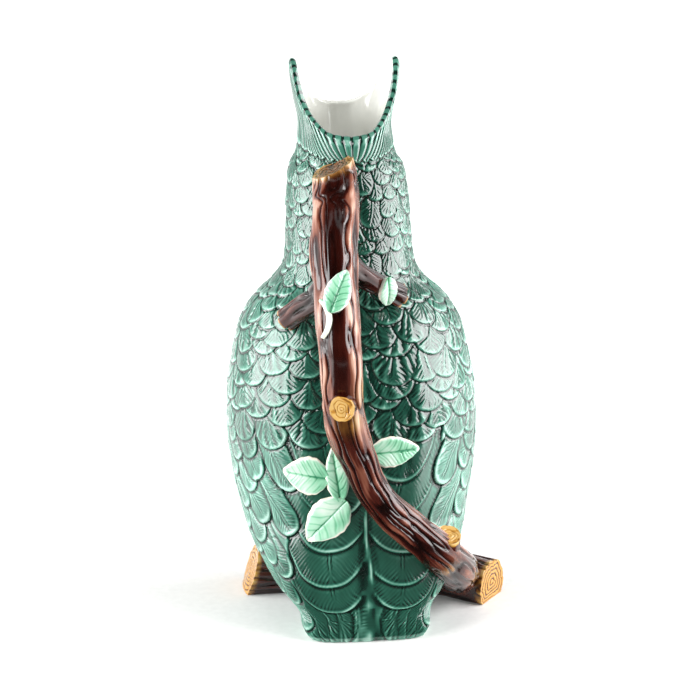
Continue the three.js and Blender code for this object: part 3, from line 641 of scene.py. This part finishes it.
def sawn_face(ring, inward, seed, pitch, hollow=0.0, steps=26, dark=0.62):
    """Rings from a limb's last one to its middle, with their tone: the year rings are grooves a pitch apart,
    uneven and off the middle, and the face may be hollow."""
    middle, share, turn = ring.mean(0), face_shares(steps), round_turns(len(ring))
    size = norms(ring - middle).mean()
    wave = noise(share * np.cos(turn) * 2.2, share * np.sin(turn) * 2.2, seed, seed)
    line = np.sin(2 * math.pi * (share * size / pitch + 0.55 * wave + 0.08 * turn))
    groove = smooth_step(0.45, 0.97, line) * smooth_step(1.0, 0.85, share)
    sunk = 0.35 * groove + hollow * (1 - share**2) * (1 + 0.5 * wave)
    points = middle + share[..., None] * (ring - middle)[None] + sunk[..., None] * inward
    return points, 0.7 - dark * groove - 0.3 * smooth_step(0.2, 0.9, wave) * (hollow > 0)


# Manganese brown and ochre glazes side by side, and one running into the other: the attribute ochre is the
# share of ochre. The brown is near black in the creases and breaks to a pinkish tan on the ridges.
bark_glaze, tree, shader, _, mottle = new_material(
    "manganese_and_ochre_glaze", 0.14, 1.54, 260.0, 3.0, bump=(0.15, 0.0003))
pooled = attribute(tree, "tone")
brown = colour_ramp(tree, pooled, [
    (0.0, "#100201"), (1.0, "#c59a86"), (0.3, "#270804"), (0.55, "#431810"), (0.8, "#84503e")])
ochre = colour_ramp(tree, pooled, [
    (0.0, "#3c1c0b"), (1.0, "#efd9a8"), (0.3, "#8f5f25"), (0.55, "#c99443"), (0.8, "#dcbb79")])
uneven = add_node(tree, "Math", {"operation": "MULTIPLY_ADD"}, {1: 1.2, 2: 0.45}, {0: mottle})
spread = add_node(tree, "Math", {"operation": "MULTIPLY", "use_clamp": True},
                  links={0: attribute(tree, "ochre"), 1: uneven})
both = add_node(tree, "Mix", {"data_type": "RGBA"}, links={"Factor": spread, 6: brown, 7: ochre})
link(shader, "Base Color", both.outputs[2])


def add_limb(name, node, parts, slot, material):
    """A closed piece from runs of rings, each (points, tone, ochre), with a pole at each end."""
    rings = np.concatenate([part[0] for part in parts])
    count, columns = rings.shape[:2]
    values = [np.concatenate([part[k] + np.zeros(part[0].shape[:2]) for part in parts]) for k in (1, 2)]
    tone, ochre = (np.append(value, [value[0].mean(), value[-1].mean()]) for value in values)
    points = np.concatenate([rings.reshape(-1, 3), rings[:1].mean(1), rings[-1:].mean(1)])
    faces = [ring_faces(count, columns, closed=False), pole_faces(0, len(points) - 2, columns, False),
             pole_faces((count - 1) * columns, len(points) - 1, columns, True)]
    a, b, c, d = (points[faces[0][:, k]] for k in range(4))
    volume = np.einsum("ij,ij->", a, np.cross(b, c)) + np.einsum("ij,ij->", a, np.cross(c, d))
    if volume < 0:
        faces = [part[:, ::-1] for part in faces]
    piece = add_piece(name, to_frame(*points.T), faces, [material], slot, tone=tone, ochre=ochre)
    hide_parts(node)


# The log's middle line is needed first, because the branch ends in it
log_rows = [(-48.5, 0), (-24.25, 0), (7.92, 0.06), (39.6, 0.36), (66, 1)]
log_curve, _ = curve_through([[x, log_y - share * log_bow, 0] for x, share in log_rows], log_steps)
root_foot = read_line(root_side, log_curve[:, 0], log_curve) + (0, -0.1 * log_depth, log_height / 2)
x, z = half_width * branch_rows[:, 0], body_height * branch_rows[:, 1]
branch_points = np.stack([x, surface_y(x, z, -1) - grip_reach * branch_rows[:, 2], z], 1)
root_bend = branch_points[-1] + (root_foot - branch_points[-1]) * (0.68, 0.42, 0.56)
branch_places, branch_way = curve_through([*branch_points, root_bend, root_foot], branch_steps)
branch_radii = branch_radius * read_evenly(np.append(branch_rows[:, 3], [1, 1.12]), branch_way)
branch_along, branch_out, branch_side = carry_frames(branch_places, (0, -1, 0))
run, turn = even_run(branch_places), round_turns(limb_columns)
height, bark_tone = bark(run, turn, branch_radius, 21)
# Smoother round the grip, where it was handled, rougher below the bend, and smoother again near its root
calm = 1 - smooth_step(118, 150, run)
at_sides = smooth_step(0.22, 0.55, np.abs(np.sin(turn - 0.1)))
rough = 0.8 - 0.1 * calm - 0.5 * calm * (1 - at_sides) - 0.15 * smooth_step(run[-1] - 45, run[-1] - 25, run)
# Painted light: the grip's sides, which face the lamps, are painted lighter and its middle, which faces the camera,
# painted darker. Below the bend the bark is a little darker.
bark_tone = bark_tone * (1 - 0.55 * calm * (1 - at_sides)) + 0.14 * calm * at_sides - 0.04 * (1 - calm)
reach = branch_radii[:, None] + rough * (height - 0.75)
# A knot on one side of the grip
reach += 1.1 * bell(np.sin((turn - 1.9) / 2), 0.35) * bell(run - 48, 14)
offset = offset_round(turn, reach, branch_out, branch_side)
# The top is sawn aslant: the rings near it are sheared along the branch
cut = unit(np.array([-0.42, 0, 1]))
fade = np.clip(1 - run / (3 * branch_radius), 0, 1)
shear = -fade * (offset @ cut) / (branch_along @ cut)[:, None]
branch_rings = branch_places[:, None] + offset + shear[..., None] * branch_along[:, None]


def branch_at(height_share):
    """The place of the branch's middle line where it comes down past a share of the body's height, and its
    share of the length."""
    number = int(np.argmax(branch_places[:, 2] < height_share * body_height))
    return branch_places[number], number / branch_steps


elbow_share, lower_share = 0.531, 0.172
elbow_root, lower_root = branch_at(elbow_share)[0], branch_at(lower_share)[0]
ochre_wash = 0.35 * smooth_step(6, 1.0, run + 2 * height)
for spot, much, size in [
    (elbow_root + (2, -8, -7), 0.5, 5), (elbow_root + (9, -2, 6), 0.4, 6), (lower_root + (2, -7, -5), 0.4, 4),
]:
    ochre_wash = ochre_wash + much * bell(norms(branch_rings - spot), size)
ochre_wash = np.clip(ochre_wash * (0.55 + 0.6 * bark_tone), 0, 1)
bark_tone = np.clip(bark_tone + 0.3 * smooth_step(4, 0, run + height), 0, 1)
face, face_tone = sawn_face(branch_rings[0], branch_along[0], 3, 2.6, hollow=1.6)
top_ochre = 0.1 + 0.4 * smooth_step(0.6, 0.95, face_shares(len(face)))
add_limb("branch_scored", "branch_handle", [
    (face[::-1], face_tone[::-1], top_ochre[::-1]), (branch_rings, bark_tone, ochre_wash),
], "brown_glaze", bark_glaze)


# Log: a thicker roll of the same clay under the bird's front, scored as bark all along, cut off at its ends
# and pressed flat on the table. Year rings were drawn in its ochre ends with a point.
log_length, log_level, log_radius = 118, 8, 13.0


def log_skin(share, turn, lift):
    """How far out the log's skin is, and how high without the lift, at a share of its length and a turn
    around it from its far side."""
    taper = 1 - 0.1 * share
    level = taper * (log_level + (log_height - log_level) * np.sin(turn))
    return taper * log_depth * np.cos(turn) / 2 + lift * np.cos(turn), level


along = unit(np.gradient(log_curve, axis=0))
share = np.linspace(0, 1, log_steps + 1)[:, None]
run = log_length * share
height, log_tone = bark(run, turn, log_radius, 51)
lift = np.minimum(0.8 * (height - 1.0), 0.2) - 0.4
out, level = log_skin(share, turn, lift)
lean = 6 * np.maximum(0, 1 - 5 * share) * level / log_height
log_rings = np.stack([
    log_curve[:, None, 0] - along[:, None, 1] * out + lean,
    log_curve[:, None, 1] + along[:, None, 0] * out,
    np.maximum(0.02, level + lift * np.sin(turn)),
], -1)
# Where it meets the body it ends on the body's front
x, y, z = np.moveaxis(log_rings, -1, 0)
wide, _, middle, side, _ = body_section(z)
front = surface_y(x, z, 1)
under = (np.abs(x - side) < wide) & (y < front) & (y > middle)
log_rings[..., 1] = np.where(under, front + 0.1, y)
left_face, left_tone = sawn_face(log_rings[0], along[0], 5, 2.2)
right_face, right_tone = sawn_face(log_rings[-1], -along[-1], 9, 2.2)
end_wash = smooth_step(3.5, 0.5, run + height) + smooth_step(3.5, 0.5, log_length - run + height)
add_limb("log_scored", "perch_log", [
    (left_face[::-1], left_tone[::-1] - 0.14, 1), (log_rings, np.clip(log_tone, 0, 1), np.clip(end_wash, 0, 1)),
    (right_face, right_tone - 0.14, 1),
], "brown_glaze", bark_glaze)


# Twigs: two side shoots of the branch, rolled, scored and sawn off. They lie on the shoulders and steady it,
# and are glazed brown, with a little ochre on the cut.
def rings_round(places, out, turn, reach):
    """Rings round a line of places, reach away from it at each turn from the side that out faces."""
    _, outs, to_side = carry_frames(places, out)
    return places[:, None] + offset_round(turn, reach, outs, to_side)


def scored_limb(points, radius, steps, seed, depth):
    """Rings of a short limb through points, with bark on it, their tone, the way along it and the direction
    into its cut end. The radius is a function of the way by points."""
    places, way = curve_through(points, steps)
    run, turn = even_run(places), round_turns(90)
    height, shade = bark(0.8 * run, turn, 0.8 * float(radius(0.5)), seed)
    rings = rings_round(places, (0, -1, 0.02), turn, radius(way)[:, None] + depth * (height - 0.7))
    return rings, np.clip(0.9 * shade - 0.12, 0, 1), run, -unit(np.gradient(places, axis=0))[-1]


twig_radius, twig_curves = 5.1, {}
for name, node, root_share, end_share, side_share, seed in [
    ("right_twig_scored", "twig_right", 0.8, 0.695, 0.325, 31),
    ("left_twig_scored", "twig_left", 0.76, 0.655, -0.55, 41),
]:
    root = branch_at(root_share)[0]
    end = np.array([side_share * half_width, 0, end_share * body_height])
    end[1] = surface_y(end[0], end[2], -1) - 0.8 * twig_radius
    twig_curves[node] = [root, (root + end) / 2 - (0, 0, 0.25 * twig_radius), end]
    ring, shade, run, inward = scored_limb(
        twig_curves[node], lambda way: twig_radius + 2.6 * (1 - way) ** 2 + 0.5 * smooth_step(0.8, 0.95, way),
        110, seed, 1.25)
    face, face_tone = sawn_face(ring[-1], inward, 13, 1.5, hollow=0.7, steps=14)
    edge_wash = 0.6 * smooth_step(2.6, 0.4, run[-1] - run + 2.0 * (1 - shade))
    shade = np.clip(shade - 0.12 + 0.35 * smooth_step(2.2, 0.3, run[-1] - run), 0, 1)
    add_limb(name, node, [(ring, shade, edge_wash), (face, face_tone - 0.4, 0.1)], "brown_glaze", bark_glaze)


# Stubs: two short shoots of the branch, sawn off and luted on. Their faces have year rings drawn with a point
# and ochre glaze, which is cream where it runs thin at the rim.
stub_radius = 5.5
for name, node, root, direction, length, drip, seed in [
    ("elbow_stub_sawn", "stub_elbow", elbow_root, (-0.17, -1, 0.12), 15.5, 2.4, 61),
    ("lower_stub_sawn", "stub_lower", lower_root, (0.11, -0.5, 0.86), 15.0, 1.0, 71),
]:
    end = root + length * unit(np.array(direction))
    ring, shade, run, inward = scored_limb(
        [root, (root + end) / 2, end], lambda way: stub_radius + 1.8 * (1 - way), 40, seed, 0.35)
    face, face_tone = sawn_face(ring[-1], inward, seed, 1.7, hollow=0.5, steps=22, dark=0.22)
    rim_wash = smooth_step(length - 1.9 - drip * shade, length - 0.4 - drip * shade, run)
    rim_tone = np.clip(0.35 * shade + 0.3 + 0.3 * smooth_step(length - 1.8, length - 0.3, run), 0, 1)
    add_limb(name, node, [(ring, rim_tone, rim_wash), (face, face_tone, 1)], "ochre_glaze", bark_glaze)


# Leaves: pressed in a mould, laid on the wet clay and nipped down at the edges. Four lie on the lower back,
# one is wrapped on the grip and one on the right twig.
def mottled_glaze(name, roughness, ior, scale, detail, bump, share, stops):
    """A glossy material whose colour is a ramp of the attribute tone, made uneven by a share of its noise."""
    material, tree, shader, _, mottle = new_material(name, roughness, ior, scale, detail, bump)
    uneven = add_node(tree, "Math", {"operation": "MULTIPLY_ADD"}, {1: share, 2: -share / 2}, {0: mottle})
    shaded = add_node(tree, "Math", {"operation": "ADD", "use_clamp": True},
                      links={0: attribute(tree, "tone"), 1: uneven})
    link(shader, "Base Color", colour_ramp(tree, shaded, stops))
    return material


# Mint lead glaze, brushed on: pooled darker in the veins, and drawn off the raised edge, which it leaves cream
leaf_glaze = mottled_glaze("mint_lead_glaze", 0.1, 1.65, 220.0, 3.0, (0.12, 0.0003), 0.3, [
    (0.0, "#3f8c66"), (1.0, "#f6eedd"), (0.28, "#86c6a1"), (0.55, "#b3dcc3"), (0.8, "#d8ebdb")])
leaf_length, leaf_width, leaf_thickness = 21.0, 16.0, 2.5


def add_leaf(name, node, length, width, lay, seed):
    """A leaf on a grid of way to the tip and way across. Half its width is sin(pi way^0.8)^0.75 with small
    teeth. Its midrib is a groove between two soft folds, and five pairs of veins are grooves aslant."""
    way = np.linspace(0.01, 0.99, 90)[:, None]
    top = np.linspace(1, -1, 61)
    across = np.concatenate([top, np.linspace(-1, 1, 13)[1:-1]])[None]
    on_top = np.arange(across.shape[1])[None] < len(top)
    teeth = 0.045 * np.abs(((way * 5.5 + 0.1 * np.sign(across)) % 1) - 0.5) * 2
    half = width / 2 * np.sin(math.pi * way**0.8) ** 0.75 * (1.02 - teeth)
    y, x = half * across, length * way
    beside, outer = np.abs(y), np.abs(across)
    vein_way = (x - 0.75 * beside) / (length / 6.2) + 0.35 * noise(x / 5, y / 5, seed, seed) + 0.25 * (y > 0)
    veins = bell(vein_way % 1 - 0.5, 0.1) * smooth_step(0.98, 0.7, outer) * smooth_step(0.1, 0.25, way)
    midrib = bell(beside, 0.42) * smooth_step(1, 0.8, way)
    swell = 0.3 * np.sin(math.pi * (vein_way % 1)) * smooth_step(0, 2, beside)
    up = leaf_thickness - 0.7 * (1 - outer) + 0.7 * swell - 0.2 * veins - 0.45 * midrib
    up = up - 1.5 * outer**8 - 0.5 * smooth_step(0.93, 1, way)
    up = np.where(on_top, up, -0.7)
    rim = smooth_step(0.8, 0.97, outer) + 0.6 * smooth_step(0.9, 1, way)
    shade = 0.55 + 0.3 * noise(x / 5, y / 5, seed, 4) - 0.26 * veins - 0.45 * midrib + 0.55 * rim
    # Painted shade: each leaf is painted darker towards its base, where it meets what it lies on and the leaves
    # beside it. The grip's leaf is darker all over.
    shade = shade - 0.25 * smooth_step(0.35, 0.0, way) - (0.1 if node == "leaf_grip" else 0)
    shade = np.clip(np.where(on_top, shade, 0.9), 0, 1)
    add_limb(name, node, [(np.stack(lay(x + 0 * y, y, up), -1), shade, 0)], "leaf_glaze", leaf_glaze)


def on_back(x, z, degrees):
    """Lays (along, across, up) on the bird's back, from a base, in a direction turned from +X towards +Z."""
    c, s = math.cos(math.radians(degrees)), math.sin(math.radians(degrees))

    def lay(along, across, up):
        px, pz = x + along * c - across * s, z + along * s + across * c
        return px, surface_y(px, pz, -1) - up, pz
    return lay


def on_limb(places, share, radius, turn=0.0, lead=0.0, aside=0.0, bend=1.0):
    """Lays (along, across, up) round the outer side of a limb, about a share of its length, in a direction
    turned from its start to its left."""
    length, steps = even_run(places)[-1], np.linspace(0, 1, len(places))
    backs = -unit(np.gradient(places, axis=0))

    def lay(along, across, up):
        run = (along - lead) * math.cos(turn) - across * math.sin(turn)
        around = (along - lead) * math.sin(turn) + across * math.cos(turn) + aside
        at = np.clip(share - run / length, 0, 1)
        middle, back = read_line(at, steps, places), read_line(at, steps, backs)
        out = unit(np.array([0, -1.0, 0]) + back[..., 1:2] * back)
        left = np.cross(out, back)
        bent = bend * radius
        point = middle + (radius - bent + (bent + up) * np.cos(around / bent))[..., None] * out
        return tuple(np.moveaxis(point + ((bent + up) * np.sin(around / bent))[..., None] * left, -1, 0))
    return lay


for seed, (name, node, side, height_share, long, wide, degrees) in enumerate([
    ("down_leaf_veined", "leaf_down", -0.155, 0.306, 1.24, 1.1, 228),
    ("up_leaf_veined", "leaf_up", -0.2, 0.302, 1.16, 0.66, 98),
    ("side_leaf_veined", "leaf_side", -0.285, 0.349, 0.95, 1.1, 175),
    ("right_leaf_veined", "leaf_right", 0.02, 0.398, 1.12, 0.87, 2),
]):
    add_leaf(name, node, leaf_length * long, leaf_width * wide,
             on_back(side * half_width, height_share * body_height, degrees), seed)
grip_share = branch_at(0.73)[1]
add_leaf("grip_leaf_veined", "leaf_grip", leaf_length * 0.86, leaf_width * 0.68, on_limb(
    branch_places, grip_share, branch_radius, turn=-0.4, lead=leaf_length * 0.36, aside=leaf_width * 0.06), 6)
twig_places, _ = curve_through(twig_curves["twig_right"], 200)
add_leaf("twig_leaf_veined", "leaf_twig", leaf_length * 0.66, leaf_width * 0.6, on_limb(
    twig_places, 0.7, twig_radius, turn=2.3, lead=leaf_length * 0.33, bend=1.8), 8)


# Stalk: a thin roll of clay, curled on the grip below its leaf and pressed on. It has the leaves' glaze, so
# thin that it is cream.
stalk_length, stalk_radius = 17.0, 1.5
lay = on_limb(branch_places, grip_share, branch_radius, lead=leaf_length * 0.22)
stalk_rows = stalk_length * np.array([[0.2, 0.5], [0.02, 0.34], [-0.24, 0.27], [-0.49, 0.33], [-0.68, 0.48]])
stalk_points = np.stack(lay(*stalk_rows.T, np.full(len(stalk_rows), 0.4 * stalk_radius)), -1)
places, way = curve_through(stalk_points, 60)
way, turn = way[:, None], round_turns(32)
reach = stalk_radius * (0.55 + 0.45 * smooth_step(0, 0.3, way) - 0.3 * way)
reach = reach * (1 + 0.06 * noise(way * 9, np.cos(turn), 0, 4))
add_limb("stalk_curled", "leaf_stalk", [
    (rings_round(places, (0, -1, 0), turn, reach), 0.55 + 0.37 * smooth_step(0.05, 0.4, way), 0),
], "leaf_glaze", leaf_glaze)


# Beak: an upper half hooked over a short lower one, modelled solid and luted on under the lip, with ochre
# glaze that darkens to the tip. The upper half has a swollen base with two nostrils.
beak_height, beak_gap = 0.925 * body_height, 10.8
seat_depth = 1.2  # how far what is luted on reaches into the wall


def seat_in_front(rings):
    """Moves what would reach deeper than the seat into the body's front out to that depth."""
    rings[..., 1] = np.maximum(rings[..., 1], surface_y(rings[..., 0], rings[..., 2], 1) - seat_depth)


# Rows of each half: way out and way down as shares of its length, and its thickness
for name, node, rows, length, radius, height_at, seed in [
    ("upper_beak_hooked", "beak_upper",
     [[-0.25, 0, 1], [0.25, -0.02, 0.98], [0.62, 0.14, 0.8], [0.88, 0.5, 0.5], [0.9, 0.95, 0.12]],
     20, 9, beak_height, 81),
    ("lower_beak_scooped", "beak_lower",
     [[-0.35, 0, 1], [0.35, 0.1, 0.85], [0.75, 0.05, 0.5], [1, -0.1, 0.2]], 13, 6, beak_height - beak_gap, 91),
]:
    far, down, size = np.array(rows, float).T
    start = float(surface_y(0.0, height_at, 1))
    places, way = curve_through(np.stack([0 * far, start + far * length, height_at - down * length], 1), 120)
    way, turn, is_upper = way[:, None], round_turns(96), node == "beak_upper"
    swollen = 0.5 * bell(way - 0.33, 0.06) * is_upper
    pits = bell(way - 0.31, 0.025) * bell(np.abs(np.sin(turn / 2)) - 0.3, 0.05) * is_upper
    reach = radius * read_evenly(size, way) * (1 - 0.06 * np.cos(2 * turn)) + swollen - pits - 0.15
    reach = reach + 0.1 * noise(way * 30, np.cos(turn) * 2, seed, seed)
    rings = rings_round(places, (0, 0, 1), turn, reach)
    seat_in_front(rings)
    shade = 0.72 - 0.5 * smooth_step(0.75, 1, way) - 0.5 * pits + 0.08 * noise(way * 12, turn * 2, seed, 5)
    add_limb(name, node, [(rings, np.clip(shade, 0, 1), 1 - 0.5 * smooth_step(0.85, 1, way))],
             "ochre_glaze", bark_glaze)


# Eyes: low domes of clay, pressed on the sides of the head, with a groove round the pupil and one round the
# iris.
eye_height, eye_radius = 3.4, 4.4
# Black glaze dotted on for the pupil, in an ochre ring
eye_glaze = mottled_glaze("black_and_ochre_dotted_glaze", 0.08, 1.65, 500.0, 2.0, None, 0.16, [
    (0.3, "#0d0908"), (1.0, "#e2a646"), (0.55, "#5a3212"), (0.8, "#c68428")])
for name, node, eye_turn in [("right_eye_domed", "eye_right", 0.85), ("left_eye_domed", "eye_left", math.pi - 0.85)]:
    middle = np.array(body_point(eye_turn, 0.935 * body_height))
    out = np.array([math.cos(eye_turn), math.sin(eye_turn), 0])
    flat = np.array([-math.sin(eye_turn), math.cos(eye_turn), 0])
    tilt, turn = np.radians(np.linspace(1.5, 178.5, 70))[:, None], round_turns(72)[..., None]
    groove = 0.22 * bell(tilt - 0.72, 0.05) + 0.25 * bell(tilt - 1.15, 0.06)
    up = (np.maximum(eye_height * np.cos(tilt), -seat_depth) - groove)[..., None]
    round_it = flat * np.cos(turn) + np.array([0, 0, 1.0]) * np.sin(turn)
    shade = smooth_step(0.6, 0.72, tilt) * (1 - 0.75 * smooth_step(1.05, 1.2, tilt))
    rings = middle + out * up + eye_radius * np.sin(tilt)[..., None] * round_it
    add_limb(name, node, [(rings, shade, 0)], "black_glaze", eye_glaze)


# Feet: a short shank out of the belly and two front toes that grip the log, rolled by hand and marked across
# with the edge of a tool as scales, under ochre glaze with brown claws.
shank_radius, toe_radius, toe_pitch, foot_spread, scale_gap = 5.4, 3.1, 7.0, 15.0, 1.7


def log_share(x):
    return float(np.interp(x, log_curve[:, 0], np.linspace(0, 1, log_steps + 1)))


def log_point(share, turn, lift):
    """A point off the log's skin: share of its length, turn around it from its far side."""
    at, numbers = share * log_steps, np.arange(log_steps + 1)
    along = unit(read_line(at, numbers, np.gradient(log_curve, axis=0)))
    out, level = log_skin(share, turn, lift)
    step = np.array([-along[1] * out, along[0] * out, max(0, level + lift * math.sin(turn))])
    return read_line(at, numbers, log_curve) + step


def scaly_limb(points, radius, steps, clawed):
    """Rings of a leg or toe, with scales as ridges over its upper side and a smooth claw, and their glaze."""
    places, way = curve_through(points, steps)
    way, turn = way[:, None], round_turns(40)
    claw = smooth_step(0.72, 0.8, way) * clawed
    scale = np.abs(np.sin(math.pi * even_run(places) / scale_gap)) ** 0.6 * (1 - claw)
    scale = scale * smooth_step(-0.6, 0.2, np.cos(turn))
    reach = radius(way) * (1 - 0.25 * claw) + 0.3 * scale - 0.3
    rings = rings_round(places, (0, 0.4, 1), turn, reach)
    return rings, np.clip(0.42 + 0.3 * scale - 0.15 * claw, 0, 1), 1 - claw


for side, name, node in [(1, "right_foot_scaly", "foot_right"), (-1, "left_foot_scaly", "foot_left")]:
    x = side * foot_spread
    share, hip = log_share(x), log_height + shank_radius
    front = float(surface_y(x, hip, 1))
    limbs = [scaly_limb([[x, front - shank_radius, hip], [x, front + shank_radius / 3, hip - shank_radius / 2],
                         log_point(share, math.pi / 4, toe_radius)],
                        lambda way: shank_radius - (shank_radius - toe_radius) * way, 60, 0)]
    seat_in_front(limbs[0][0])
    for toe in (-0.5, 0.5):
        toe_share, tip_share = (log_share(x + toe * toe_pitch * far) for far in (1, 1.6))
        limbs.append(scaly_limb(
            [log_point(share, 1.2, toe_radius / 2), log_point(toe_share, 0.65, toe_radius / 2),
             log_point(toe_share, 0.15, toe_radius / 2), log_point(tip_share, -0.3, toe_radius / 3)],
            lambda way: toe_radius * (1 - 0.55 * way**2), 90, 1))
    for part, limb in zip(("shank", "inner_toe", "outer_toe"), limbs):
        add_limb(f"{name}_{part}", node, [limb], "ochre_glaze", bark_glaze)


# Studio: a pale table, a soft lamp on each side, a faint one above, and a dark screen behind and over the
# camera that shows as the dark middle of each glossy form. Measures are in metres.
bpy.context.scene.view_settings.view_transform = "Standard"
target = to_frame(-0.8, 0.0, 122.0)
azimuth, elevation, distance = math.radians(-7), math.radians(15), 1.1
away = np.array([
    math.sin(azimuth) * math.cos(elevation), -math.cos(azimuth) * math.cos(elevation), math.sin(elevation)])
camera_data = bpy.data.cameras.new("camera")
camera_data.lens, camera_data.sensor_width = 122.8, 36.0
camera = add_object("camera", camera_data)


def aim(thing, location, at):
    """Puts a lamp or the camera at a place and points its -Z at another."""
    thing.location = Vector(location)
    thing.rotation_euler = (Vector(at) - Vector(location)).to_track_quat("-Z", "Y").to_euler()


lamp_aim = (0, 0.02, 0.12)
aim(camera, target + away * distance, target)
bpy.context.scene.camera = camera
for name, degrees, reach, height, size, power in [
    ("lamp_left", -81, 1.1, 0.55, (1.25, 0.95), 27.0), ("lamp_right", 74, 1.1, 0.55, (1.35, 0.95), 30.0),
    ("lamp_top", 0, 0.1, 1.2, (0.8, 0.5), 4.5),
]:
    lamp = bpy.data.lights.new(name, "AREA")
    lamp.shape, (lamp.size, lamp.size_y), lamp.energy = "RECTANGLE", size, power
    light = add_object(name, lamp)
    light.visible_glossy = name != "lamp_top"
    angle = math.radians(degrees)
    aim(light, (target[0] + math.sin(angle) * reach, target[1] - math.cos(angle) * reach, height), lamp_aim)


def seen_rays(tree):
    """1 for what the eye sees directly, mirrored or through glass, and 0 for the light that falls on things."""
    rays = add_node(tree, "LightPath").outputs
    seen = add_node(tree, "Math", {"operation": "MAXIMUM"},
                    links={0: rays["Is Camera Ray"], 1: rays["Is Glossy Ray"]})
    return add_node(tree, "Math", {"operation": "MAXIMUM"}, links={0: seen, 1: rays["Is Transmission Ray"]})


# The room: white to the eye, and a faint light on everything
world = bpy.data.worlds.new("studio")
bpy.context.scene.world = world
world.use_nodes = True
tree = world.node_tree
tree.nodes["Background"].inputs["Color"].default_value = (1, 1, 1, 1)
link(tree.nodes["Background"], "Strength", add_node(
    tree, "MapRange", values={"To Min": 0.12, "To Max": 1.0}, links={"Value": seen_rays(tree)}))


def add_sheet(name, x, y, z, material):
    """A sheet from grids of x, y and z."""
    rows, columns = x.shape
    corner = (np.arange(rows - 1)[:, None] * columns + np.arange(columns - 1)).ravel()
    faces = np.stack([corner, corner + 1, corner + columns + 1, corner + columns], 1)
    mesh = bpy.data.meshes.new(name)
    mesh.from_pydata(np.stack([x, y, z], -1).reshape(-1, 3).tolist(), [], faces.tolist())
    mesh.materials.append(material)
    return add_object(name, mesh)


# Table: a matt white sweep, a little lighter to the eye than its lamps make it, with the jug's shadow
table_paint, tree, shader, place, speck = new_material("matt_white_table", 0.6, 1.45, 300.0)
shader.inputs["Specular IOR Level"].default_value = 0.1
link(shader, "Base Color", colour_ramp(tree, speck, [(0.3, "#e9e8e7"), (0.7, "#efeeed")]))
far = add_node(tree, "VectorMath", {"operation": "LENGTH"}, links={0: place}).outputs["Value"]
level = add_node(tree, "MapRange", values={"From Min": 0.12, "From Max": 0.5, "To Min": 0.06, "To Max": 1.0},
                 links={"Value": far})
strength = add_node(tree, "Math", {"operation": "MULTIPLY"}, links={0: seen_rays(tree), 1: level})
glow = add_node(tree, "Emission", values={"Color": (1, 1, 1, 1)}, links={"Strength": strength})
link(tree.nodes["Material Output"], "Surface", add_node(tree, "AddShader", links={0: shader, 1: glow}))
table_reach = np.linspace(-6, 6, 25)
gx, gy = np.meshgrid(table_reach, table_reach)
table = add_sheet("table", gx, gy, 0 * gx - 0.0002, table_paint)

# Dark screen: a curved cloth behind and over the camera, which shows only mirrored in the glaze
screen_paint, tree, shader, _, weave = new_material("black_cloth", 0.9, 1.45, 200.0)
link(shader, "Base Color", colour_ramp(tree, weave, [(0.3, "#101010"), (0.7, "#1a1a1a")]))
screen_radius = 1.5
sx, sz = np.meshgrid(np.radians(np.linspace(-82, 76, 40)), np.radians(np.linspace(-4, 145, 26)))
screen = add_sheet("dark_screen", target[0] + screen_radius * np.sin(sx) * np.cos(sz),
                   target[1] - screen_radius * np.cos(sx) * np.cos(sz), target[2] + screen_radius * np.sin(sz),
                   screen_paint)

# Dark card: it lies on the table from the jug's foot towards the camera and past it, and shows only mirrored
# too, so that the tail doesn't mirror the table
gx, gy = np.meshgrid(np.linspace(-1, 1, 19), np.linspace(-1.25, -0.008, 12))
card = add_sheet("dark_card", gx * (0.11 - 1.0 * gy), gy, 0 * gx + 0.002, screen_paint)
for sheet in (screen, card):
    sheet.visible_camera = sheet.visible_diffuse = sheet.visible_shadow = False
